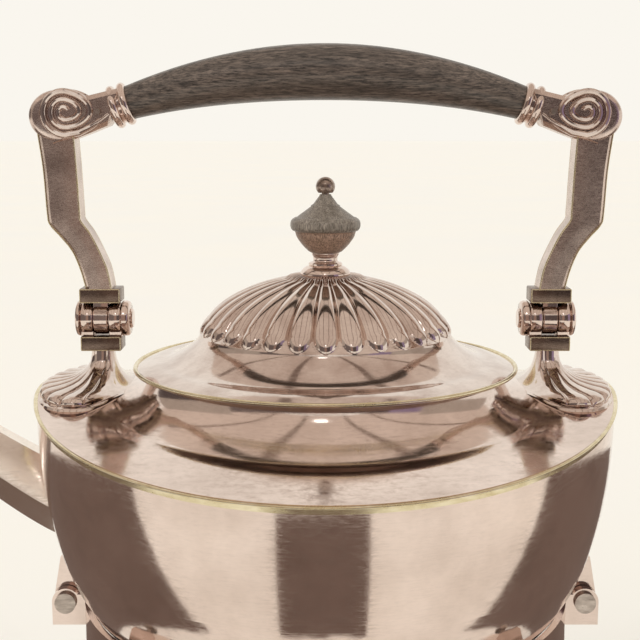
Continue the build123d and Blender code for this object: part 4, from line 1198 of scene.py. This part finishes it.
# ---- the spout -----------------------------------------------------------------------------------
@dataclass
class Spout:
    """The panelled spout: a broad face slopes down to one crease along each side, with the keel under it."""
    body: str = "kettle"
    steps: int = 8
    wall: float = 1.3
    smooth_deg: float = 14.0
    # middle of the spout as (distance from the axis, height above the rim), and its direction there in degrees
    path: Profile = ((-72.0, -43.0), (-86.0, -38.0), (-102.0, -28.5), (-118.0, -17.0), (-132.0, -3.5),
                     (-142.0, 10.0))
    turns: tuple[float, ...] = (14, 22, 34, 42, 50, 56)
    width: tuple[float, float] = (25.0, 11.0)      # at the bowl, at the tip
    height: tuple[float, float] = (24.0, 12.0)
    # one side of the section, downwards, as shares of half the width and half the height
    corners: Profile = ((0.32, -1), (0.58, -0.66), (0.81, -0.3), (1, 0.1), (0.78, 0.48), (0.32, 1))
    bowl_arc: Point = (150.0, -60.0, -8.0)        # radius and centre (out, up) of the bowl's side
    keel_root: Point = (-78.0, 0.0, -54.6)        # beside the keel's first face, which looks down

    def shell(self) -> bpy.types.Object:
        """Models the spout's outer surface, its root cut to the side of the bowl.

        Returns:
            The open sheet.
        """
        middles = sampled(self.path, self.steps)
        turns = sampled([(turn, 0.0) for turn in self.turns], self.steps)
        section = [*self.corners, *((-out, down) for out, down in reversed(self.corners))]

        def rule(row: int, side: int) -> Point:
            """Places one point of the spout.

            Args:
                row: the station along it.
                side: the corner of its section.

            Returns:
                The point.
            """
            share, turn = row / (len(middles) - 1), math.radians(turns[row][0])
            half_w, half_h = ((root + (tip - root) * share) / 2 for root, tip in (self.width, self.height))
            out, down = section[side]
            x = middles[row][0] - math.sin(turn) * half_h * down
            z = middles[row][1] - math.cos(turn) * half_h * down
            radius, centre, level = self.bowl_arc
            wall = centre + math.sqrt(radius ** 2 - (z - level) ** 2) - self.wall
            y = half_w * out
            return (min(x, -math.sqrt(wall ** 2 - y ** 2)), y, z)

        return sleeve("panelled_spout", len(middles), len(section), rule, capped=False)

    def build(self, finishes: Finishes) -> bpy.types.Object:
        """Models and dresses the spout.

        Args:
            finishes: the kettle's finishes.

        Returns:
            The spout.
        """
        piece = thicken(self.shell(), self.wall, self.keel_root, looks_up=False)
        # the spout takes the lighter copy of the plate: painted pale reflection
        dress(settle(piece, self.smooth_deg, outward=False), finishes.plate_painted_pale)
        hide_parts("spout")
        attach(piece, self.body)
        return piece


# ---- the bail's arms and the feet that carry them ------------------------------------------------
class Side(Enum):
    """The two sides of the kettle, by the sign of X."""
    LEFT = -1
    RIGHT = 1


@dataclass(frozen=True)
class Hinge:
    """The hinge between a foot and an arm, in millimetres about the axis and rim."""
    x: float = 70.65
    z: float = 20.1
    knuckle_r: float = 5.0
    half: float = 6.4             # half its width along X
    middle_half: float = 2.3      # the arm's knuckle
    gap: float = 0.2
    depth: float = 4.5            # half a block's depth
    block_h: float = 4.6
    web: float = 2.9              # half the depth of the webs that join knuckles to blocks
    reach: float = 5.3            # from the pin to a block
    web_from: float = 2.0         # the webs reach from here ...
    web_into: float = 0.3         # ... to this far inside the block
    web_bevel: float = 0.2
    block_bevel: float = 0.55
    broken: tuple[float, float] = (0.35, 0.93)    # length of a knuckle's broken edge, share of its radius left there
    sides: int = 64
    line_r: float = 0.2           # radius of the wear lines along a block's edges
    line_sides: int = 8
    line_inset: float = 0.28      # how far they lie in from its sides ...
    line_deep: float = 0.1        # ... and from its faces

    def knuckle(self, name: str, side: Side, low: float, high: float) -> bpy.types.Object:
        """Turns a knuckle between two places along the pin, its edges broken.

        Args:
            name: the knuckle's name.
            side: side of the kettle.
            low: start, outwards from the hinge's middle.
            high: end.

        Returns:
            The knuckle.
        """
        edge, left = self.broken[0] / (high - low), self.broken[1]
        ends = [(side.value * (self.x + value), 0, self.z) for value in (low, high)]
        return turned_bar(name, *ends, self.knuckle_r, ((0, left), (edge, 1), (1 - edge, 1), (1, left)), self.sides)

    def block(self, name: str, side: Side, out: tuple[float, float], up: tuple[float, float],
              deep: float, bevel: float) -> bpy.types.Object:
        """A bevelled block between two distances outwards and two heights from the pin."""
        xs = sorted(side.value * (self.x + value) for value in out)
        return cut_block(name, (xs[0], -deep, self.z + up[0]), (xs[1], deep, self.z + up[1]), bevel)

    def edge_lines(self, side: Side, up: tuple[float, float]) -> list[bpy.types.Object]:
        """Models the wear lines round the near and far faces of a block.

        Args:
            side: side of the kettle.
            up: the block's lower and upper face, as heights from the pin.

        Returns:
            The lines.
        """
        lines, inset = [], self.line_inset
        wide, low, high = self.half - inset, up[0] + inset, up[1] - inset
        for deep in (-self.depth + self.line_deep, self.depth - self.line_deep):
            corners = [(side.value * (self.x + out), deep, self.z + height)
                       for out, height in ((-wide, low), (wide, low), (wide, high), (-wide, high))]
            lines += [strand("line", [corners[i], corners[(i + 1) % 4]], [self.line_r] * 2, self.line_sides)
                      for i in range(4)]
        return lines


@dataclass
class HandleFoot:
    """A foot of the bail: a fluted shell on the shoulder, a round neck, and the lower half of the hinge.

    Lengths are in millimetres. Bearings are counted from the outer side.
    """
    side: Side
    hinge: Hinge = Hinge()
    body: str = "kettle"
    lobes: int = 18
    steps: int = 20
    smooth_deg: float = 50.0
    sections: tuple[tuple[float, float, float, float, float], ...] = (
        # height, shift outwards, half widths along X and Y, depth of the flutes
        (10.6, 0.0, 3.6, 3.6, 0.0), (8.6, 0.0, 3.7, 3.8, 0.0), (6.6, 0.1, 4.0, 4.5, 0.0),
        (5.0, 0.4, 4.6, 6.0, 0.0), (3.8, 0.8, 5.4, 8.4, 0.1), (2.9, 1.2, 6.3, 11.0, 0.35),
        (2.1, 1.6, 7.4, 13.8, 0.8), (1.6, 2.1, 8.6, 16.6, 1.2), (1.25, 2.7, 9.9, 19.2, 1.5),
        (1.0, 3.3, 11.2, 21.8, 1.7), (0.8, 4.2, 12.3, 24.2, 1.8), (0.5, 4.7, 13.2, 26.2, 1.8),
        (-0.05, 5.0, 13.9, 27.8, 1.7), (-0.9, 5.1, 14.2, 28.6, 1.4), (-1.6, 5.1, 14.1, 28.6, 0.8),
        (-2.1, 5.1, 13.7, 28.2, 0.2), (-2.3, 5.1, 14.2, 29.0, 0.0), (-2.5, 5.1, 14.8, 30.0, 0.3),
        (-3.2, 5.1, 15.1, 30.6, 0.45), (-4.2, 5.1, 14.2, 30.0, 0.35), (-6.5, 5.1, 13.4, 29.4, 0.0))
    cuts: int = 3                 # rows from one section to the next
    flutes_from: tuple[float, float] = (-0.45, 0.30)      # cosine of the bearing where the flutes begin, their fade
    flute_drop: float = 0.55      # how far a flute sinks downwards, as a share of its depth
    # the plain inner side: its top, its drop, the neck's half width and the reach of its round
    fillet: tuple[float, float, float, float] = (10.6, 11.8, 3.6, 7.9)
    fillet_share: float = 0.8     # share of the rows that the round takes; the rest go on into the shoulder
    fillet_long: float = 1.9      # its width along Y against that along X
    fillet_sunk: float = 5.3
    flare_from: tuple[float, float] = (-0.75, 0.45)       # the same for the flare, which takes over from the round

    def even_turns(self, count: int) -> list[float]:
        """Works out bearings that divide the base's oval into equal lengths.

        Args:
            count: how many lengths.

        Returns:
            The bearings in radians, the first one facing outwards.
        """
        half_x, half_y = self.sections[-1][2:4]
        fine = 1440
        lengths = [0.0]
        for i in range(fine):
            a, b = (2 * math.pi * k / fine for k in (i, i + 1))
            lengths.append(lengths[-1] + math.hypot(half_x * (math.cos(b) - math.cos(a)),
                                                    half_y * (math.sin(b) - math.sin(a))))
        turns, at = [], 0
        for i in range(count):
            while lengths[at + 1] < lengths[-1] * i / count:
                at += 1
            turns.append(2 * math.pi * at / fine)
        return turns

    def shell(self, name: str) -> bpy.types.Object:
        """Models the foot's shell, from the neck down into the shoulder.

        Args:
            name: its name.

        Returns:
            The shell.
        """
        sides = self.lobes * self.steps
        turns = self.even_turns(sides)
        fine = [[a + (b - a) * cut / self.cuts for a, b in zip(upper, lower)]
                for upper, lower in zip(self.sections, self.sections[1:]) for cut in range(self.cuts)]
        fine.append(list(self.sections[-1]))

        def rule(row: int, index: int) -> Point:
            """Places one point of the shell, on the fluted flare or on the plain inner side.

            Args:
                row: the section.
                index: the point's number round it.

            Returns:
                The point.
            """
            turn = turns[index]
            across = (index / self.steps) % 1.0 * 2 - 1
            flare = self.flare_spot(fine[row], turn, across)
            plain = self.inner_spot(row / (len(fine) - 1), turn)
            x, y, z = plain.lerp(flare, fade_in(math.cos(turn), *self.flare_from))
            return (self.side.value * (self.hinge.x + x), y, z)

        return sleeve(name, len(fine), sides, rule)

    def flare_spot(self, section: Sequence[float], turn: float, across: float) -> Vector:
        """Works out a place on the fluted flare.

        Args:
            section: height, shift, half widths and depth of the flutes.
            turn: bearing in radians.
            across: place on its lobe, from -1 to 1.

        Returns:
            The place, about the hinge.
        """
        z, shift, half_x, half_y, deep = section
        ridge = math.sqrt(max(0.0, 1 - across ** 2))
        sink = deep * (1 - ridge) * fade_in(math.cos(turn), *self.flutes_from)
        return Vector(((half_x - sink) * math.cos(turn) + shift, (half_y - sink) * math.sin(turn),
                       z - sink * self.flute_drop))

    def inner_spot(self, along: float, turn: float) -> Vector:
        """Works out a place on the plain inner side.

        Args:
            along: share of the way down.
            turn: bearing in radians.

        Returns:
            The place, about the hinge.
        """
        top, drop, neck, reach = self.fillet
        swing = math.pi / 2 * min(1.0, along / self.fillet_share)
        past = max(0.0, along - self.fillet_share) / (1 - self.fillet_share)
        wide = neck + reach * (1 - math.cos(swing)) + past
        return Vector((wide * math.cos(turn), wide * self.fillet_long * math.sin(turn),
                       top - drop * math.sin(swing) - self.fillet_sunk * past))

    def build(self, finishes: Finishes) -> bpy.types.Object:
        """Models and dresses the foot with its half of the hinge.

        Args:
            finishes: the kettle's finishes.

        Returns:
            The foot.
        """
        hinge, word = self.hinge, self.side.name.lower()
        shell = dress(settle(self.shell("foot_shell"), SOFT_DEG), finishes.plate_crest)
        inner = hinge.middle_half + hinge.gap
        outs = ((-hinge.half, -inner), (inner, hinge.half))
        parts = [dress(hinge.knuckle("knuckle", self.side, *out), finishes.plate) for out in outs]
        web_up = (-hinge.reach - hinge.web_into, -hinge.web_from)
        parts += [dress(hinge.block("web", self.side, out, web_up, hinge.web, hinge.web_bevel), finishes.plate)
                  for out in outs]
        up = (-hinge.reach - hinge.block_h, -hinge.reach)
        block = hinge.block("block", self.side, (-hinge.half, hinge.half), up, hinge.depth, hinge.block_bevel)
        lines = [dress(settle(line, SOFT_DEG), finishes.worn_edge) for line in hinge.edge_lines(self.side, up)]
        # the block takes the darker copy of the plate: painted dark reflection
        piece = joined(f"{word}_fluted_foot", [shell, *parts, dress(block, finishes.plate_painted_dark), *lines])
        shade(piece, self.smooth_deg)
        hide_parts(f"{word}_handle_foot")
        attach(piece, self.body)
        return piece


class Edge(Enum):
    """The two edges of an arm's strap, with the way that leads from each into the strap."""
    INNER = 1
    OUTER = -1


@dataclass
class BailArm:
    """An arm of the bail: a cranked strap with bevelled edges, a volute, and the socket of the grip.

    Lengths are in millimetres. The strap's edges are given outwards from the hinge's middle and above the rim, the
    rest outwards from the kettle's axis and above the rim.
    """
    side: Side
    hinge: Hinge = Hinge()
    body: str = "bail"
    smooth_deg: float = 30.0
    half_depth: float = 4.3
    strap_steps: int = 5          # rows from one station to the next
    outer: Profile = ((4.15, 29.0), (5.95, 36.0), (8.35, 41.8), (11.75, 46.2), (15.0, 50.0), (15.7, 53.6),
                      (16.45, 67.0), (17.95, 79.0))
    inner: Profile = ((-4.05, 29.0), (-2.75, 36.0), (-0.45, 41.8), (2.35, 47.4), (5.0, 51.2), (5.3, 54.0),
                      (5.85, 67.0), (6.55, 79.0))
    # one half of the strap's section: the edge, the distance from it, and how far it lies from the strap's face
    section: tuple[tuple[Edge, float, float], ...] = (
        (Edge.INNER, 0.0, -4.3), (Edge.INNER, 0.0, -0.5), (Edge.INNER, 0.5, 0.0), (Edge.INNER, 3.2, 0.12),
        (Edge.OUTER, 4.6, 0.12), (Edge.OUTER, 1.3, 0.0), (Edge.OUTER, 0.45, -0.85), (Edge.OUTER, 0.0, -1.5))
    wear_near: tuple[float, float] = (0.25, 0.22)         # the wear lines lie in from the edge and the face
    wear_far: tuple[float, float] = (0.12, 1.2)
    wear_r: float = 0.27
    boss: tuple[float, float, float, float] = (81.7, 83.2, 9.4, 8.1)      # middle and half widths
    boss_depth: float = 5.2
    # rim of the boss: distance inwards from its face, share of the half widths
    boss_edge: Profile = ((0.0, 0.60), (-0.05, 0.78), (0.3, 0.87), (1.1, 0.95), (2.3, 0.99), (3.6, 1.0))
    boss_sides: int = 72
    boss_smooth: float = 50.0
    lead: Profile = ((66.0, 83.9), (68.5, 82.0), (71.8, 79.9), (75.2, 78.3))      # the volute's start
    lead_r: tuple[float, float] = (0.55, 0.15)    # share of the strand's radius at the start, growth at each point
    eye: tuple[float, float] = (79.5, 84.6)       # middle of the volute
    wind_r: float = 7.1                           # radius at which the winding starts
    wind_steps: int = 44                          # points in one turn
    wind_points: int = 118
    wind_thins: float = 0.12                      # share of its radius that the strand loses in one turn
    turn_step: float = 2.3                        # spacing of the volute's turns
    strand_r: float = 1.15
    strand_proud: float = 0.1
    lean: float = 0.45            # how far the turns draw out towards the grip
    grip_end: tuple[float, float] = (60.2, 87.4)
    grip_slope: float = 17.5
    # distance along the grip, half height and half depth
    socket_rows: tuple[Point, ...] = (
        (4.4, 5.4, 5.4), (4.9, 5.9, 5.8), (10.0, 6.4, 5.7), (16.0, 6.9, 5.2), (22.5, 7.4, 4.8))
    socket_bevel: float = 1.7
    socket_ease: tuple[float, float] = (0.5, 0.6)         # the point that rounds the bevel off

    def spot(self, out: float, y: float, up: float) -> Point:
        """A place given by its distance outwards from the kettle's axis."""
        return (self.side.value * out, y, up)

    def strap(self) -> bpy.types.Object:
        """Models the cranked strap: a bevelled section carried from station to station.

        Returns:
            The strap.
        """
        outer, inner = sampled(self.outer, self.strap_steps), sampled(self.inner, self.strap_steps)
        half = [(edge, away, self.half_depth + proud) for edge, away, proud in self.section]
        ring = [(edge, away, -y) for edge, away, y in half] + list(reversed(half[1:]))

        def rule(row: int, index: int) -> Point:
            """Places one point of the strap.

            Args:
                row: the station.
                index: the point's number round the section.

            Returns:
                The point.
            """
            edge, away, y = ring[index]
            low, high = Vector(inner[row]), Vector(outer[row])
            at = (low if edge is Edge.INNER else high) + (high - low).normalized() * edge.value * away
            return self.spot(self.hinge.x + at.x, y, at.y)

        return sleeve("strap", len(outer), len(ring), rule)

    def boss_disc(self) -> bpy.types.Object:
        """Models the oval boss on which the volute lies, its rim rolled over.

        Returns:
            The boss.
        """
        x, z, half_x, half_z = self.boss
        near = [(inset - self.boss_depth, share) for inset, share in self.boss_edge]
        profile = near + [(-y, share) for y, share in reversed(near)]

        def rule(row: int, index: int) -> Point:
            """Places one point of the boss.

            Args:
                row: the ring.
                index: the point's number round it.

            Returns:
                The point.
            """
            y, share = profile[row]
            turn = 2 * math.pi * index / self.boss_sides
            return self.spot(x + half_x * share * math.cos(turn), y, z + half_z * share * math.sin(turn))

        return sleeve("boss", len(profile), self.boss_sides, rule)

    def volute(self, front: float) -> bpy.types.Object:
        """Models one face's volute: a strand that leaves the socket and winds in to the eye.

        Args:
            front: -1 for the face towards -Y, 1 for the other.

        Returns:
            The strand.
        """
        y = front * (self.boss_depth + self.strand_proud)
        path = [self.spot(x, y, z) for x, z in self.lead]
        radii = [self.strand_r * (self.lead_r[0] + self.lead_r[1] * i) for i in range(len(self.lead))]
        for i in range(self.wind_points):
            wound = i / self.wind_steps
            radius = self.wind_r - self.turn_step * wound
            angle = -math.pi / 2 - 2 * math.pi * wound
            inwards = radius * math.cos(angle) * (1 + self.lean * max(0.0, math.cos(angle)))
            path.append(self.spot(self.eye[0] - inwards, y, self.eye[1] + radius * math.sin(angle)))
            radii.append(self.strand_r * (1.0 - self.wind_thins * wound))
        return strand("volute", path, radii)

    def socket(self) -> bpy.types.Object:
        """Models the socket of the grip: a flat-faced tapered sleeve with bevelled edges.

        Returns:
            The socket.
        """
        slope, cut, ease = math.radians(self.grip_slope), self.socket_bevel, self.socket_ease

        def rule(row: int, index: int) -> Point:
            """Places one point of the socket.

            Args:
                row: the station.
                index: the point's number round the section.

            Returns:
                The point.
            """
            along, half_h, half_y = self.socket_rows[row]
            corner = ((half_h - cut, half_y), (half_h - ease[0], half_y - cut + ease[1]), (half_h, half_y - cut))
            above = [*corner, *((up, -y) for up, y in reversed(corner))]
            up, y = (above + [(-up, -y) for up, y in above])[index]
            out = self.grip_end[0] + along * math.cos(slope) - up * math.sin(slope)
            z = self.grip_end[1] - along * math.sin(slope) + up * math.cos(slope)
            return self.spot(out, y, z)

        return sleeve("socket", len(self.socket_rows), 12, rule)

    def wear_lines(self, finishes: Finishes) -> bpy.types.Object:
        """Models the fine bright lines where the plate has worn through along the strap's edges.

        Args:
            finishes: the kettle's finishes.

        Returns:
            The lines.
        """
        outer, inner = sampled(self.outer, self.strap_steps), sampled(self.inner, self.strap_steps)
        lines = []
        for front in (-1, 1):
            y_near, y_far = (front * (self.half_depth - inset) for _, inset in (self.wear_near, self.wear_far))
            near = [self.spot(self.hinge.x + x + self.wear_near[0], y_near, z) for x, z in inner]
            far = [self.spot(self.hinge.x + x - self.wear_far[0], y_far, z) for x, z in outer]
            lines += [strand("line", line, [self.wear_r] * len(line), self.hinge.line_sides) for line in (near, far)]
        lines += self.hinge.edge_lines(self.side, (self.hinge.reach, self.hinge.reach + self.hinge.block_h))
        piece = joined(f"{self.side.name.lower()}_arm_wear_lines", [settle(line, SOFT_DEG) for line in lines])
        dress(piece, finishes.worn_edge)
        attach(piece, self.body)
        return piece

    def build(self, finishes: Finishes) -> bpy.types.Object:
        """Models and dresses the arm.

        Args:
            finishes: the kettle's finishes.

        Returns:
            The arm.
        """
        hinge, word = self.hinge, self.side.name.lower()
        middle = (-hinge.middle_half, hinge.middle_half)
        parts = [dress(settle(self.strap(), CRISP_DEG), finishes.plate_worn),
                 dress(settle(self.boss_disc(), self.boss_smooth), finishes.plate_flat),
                 dress(settle(self.socket(), CRISP_DEG), finishes.plate_worn)]
        parts += [dress(settle(self.volute(front), SOFT_DEG), finishes.plate_crest) for front in (-1, 1)]
        parts.append(dress(hinge.knuckle("knuckle", self.side, *middle), finishes.plate))
        web = hinge.block("web", self.side, middle, (hinge.web_from, hinge.reach + hinge.web_into), hinge.web,
                          hinge.web_bevel)
        block = hinge.block("block", self.side, (-hinge.half, hinge.half),
                            (hinge.reach, hinge.reach + hinge.block_h), hinge.depth, hinge.block_bevel)
        # the block takes the darker copy of the plate: painted dark reflection
        parts += [dress(web, finishes.plate), dress(block, finishes.plate_painted_dark)]
        piece = shade(joined(f"{word}_scrolled_arm", parts), self.smooth_deg)
        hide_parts(f"{word}_bail_arm")
        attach(piece, self.body)
        return piece


@dataclass
class HingePin:
    """The pin of one bail hinge: a headed rod, riveted over on its inner end."""
    side: Side
    hinge: Hinge = Hinge()
    body: str = "kettle"
    smooth_deg: float = 40.0
    sides: int = 64
    # each part: its start and end outwards from the hinge's middle, its radius, and its rings
    head: tuple[float, float, float, Profile] = (
        6.5, 8.0, 5.6, ((0, 0.96), (0.12, 1), (0.45, 1), (0.72, 0.96), (0.9, 0.86), (1, 0.7)))
    collar: tuple[float, float, float, Profile] = (
        -6.5, -9.0, 5.6, ((0, 0.96), (0.1, 1), (0.6, 1), (0.85, 0.96), (1, 0.88)))
    rivet: tuple[float, float, float, Profile] = (-8.9, -9.8, 3.2, ((0, 0.97), (0.5, 1), (1, 0.85)))
    rod: tuple[float, float, float, Profile] = (-6.6, 6.6, 2.1, ((0, 1), (1, 1)))

    def build(self, finishes: Finishes) -> bpy.types.Object:
        """Turns and dresses the pin.

        Args:
            finishes: the kettle's finishes.

        Returns:
            The pin.
        """
        parts = []
        for *ends, radius, rings in (self.head, self.collar, self.rivet, self.rod):
            start, end = ((self.side.value * (self.hinge.x + out), 0, self.hinge.z) for out in ends)
            parts.append(turned_bar("pin_part", start, end, radius, rings, self.sides))
        word = self.side.name.lower()
        piece = shade(joined(f"{word}_headed_pin", parts), self.smooth_deg)
        dress(piece, finishes.plate)
        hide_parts(f"{word}_hinge_pin")
        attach(piece, self.body)
        return piece


# ---- carried-over solids -------------------------------------------------------------------------
@dataclass
class CarriedSolids:
    """The solids whose own shape is right: each gets its finish."""

    def build(self, finishes: Finishes) -> None:
        """Dresses every solid of the frame.

        Args:
            finishes: the kettle's finishes.
        """
        by_slot = {
            "silver_plate": finishes.plate, "worn_edge": finishes.worn_edge, "pin_metal": finishes.pin,
            "ball_metal": finishes.ball, "knob_wood": finishes.knob, "grip_wood": finishes.grip,
            "wick_cotton": finishes.cotton, "lamp_brass": finishes.brass,
        }
        slots = {part["node"]: part["material_slot"] for part in frame["record"]["subparts"]}
        for name, node in frame["nodes"].items():
            dress(node, by_slot[slots[name]])


def main() -> None:
    """Builds the studio, the finishes and each part of the kettle in order."""
    logging.basicConfig(level=logging.INFO, format="%(message)s")
    Studio().build()
    finishes = Finishes()
    CarriedSolids().build(finishes)
    pieces = FlutedLid().build(finishes) + Finial().build(finishes) + Shoulder().build(finishes)
    pieces.append(Spout().build(finishes))
    for side in Side:
        arm = BailArm(side)
        pieces += [HandleFoot(side).build(finishes), HingePin(side).build(finishes), arm.build(finishes),
                   arm.wear_lines(finishes)]
    for piece in pieces:
        log.info("%s: %d faces", piece.name, len(piece.data.polygons))


if __name__ == "__main__":
    main()
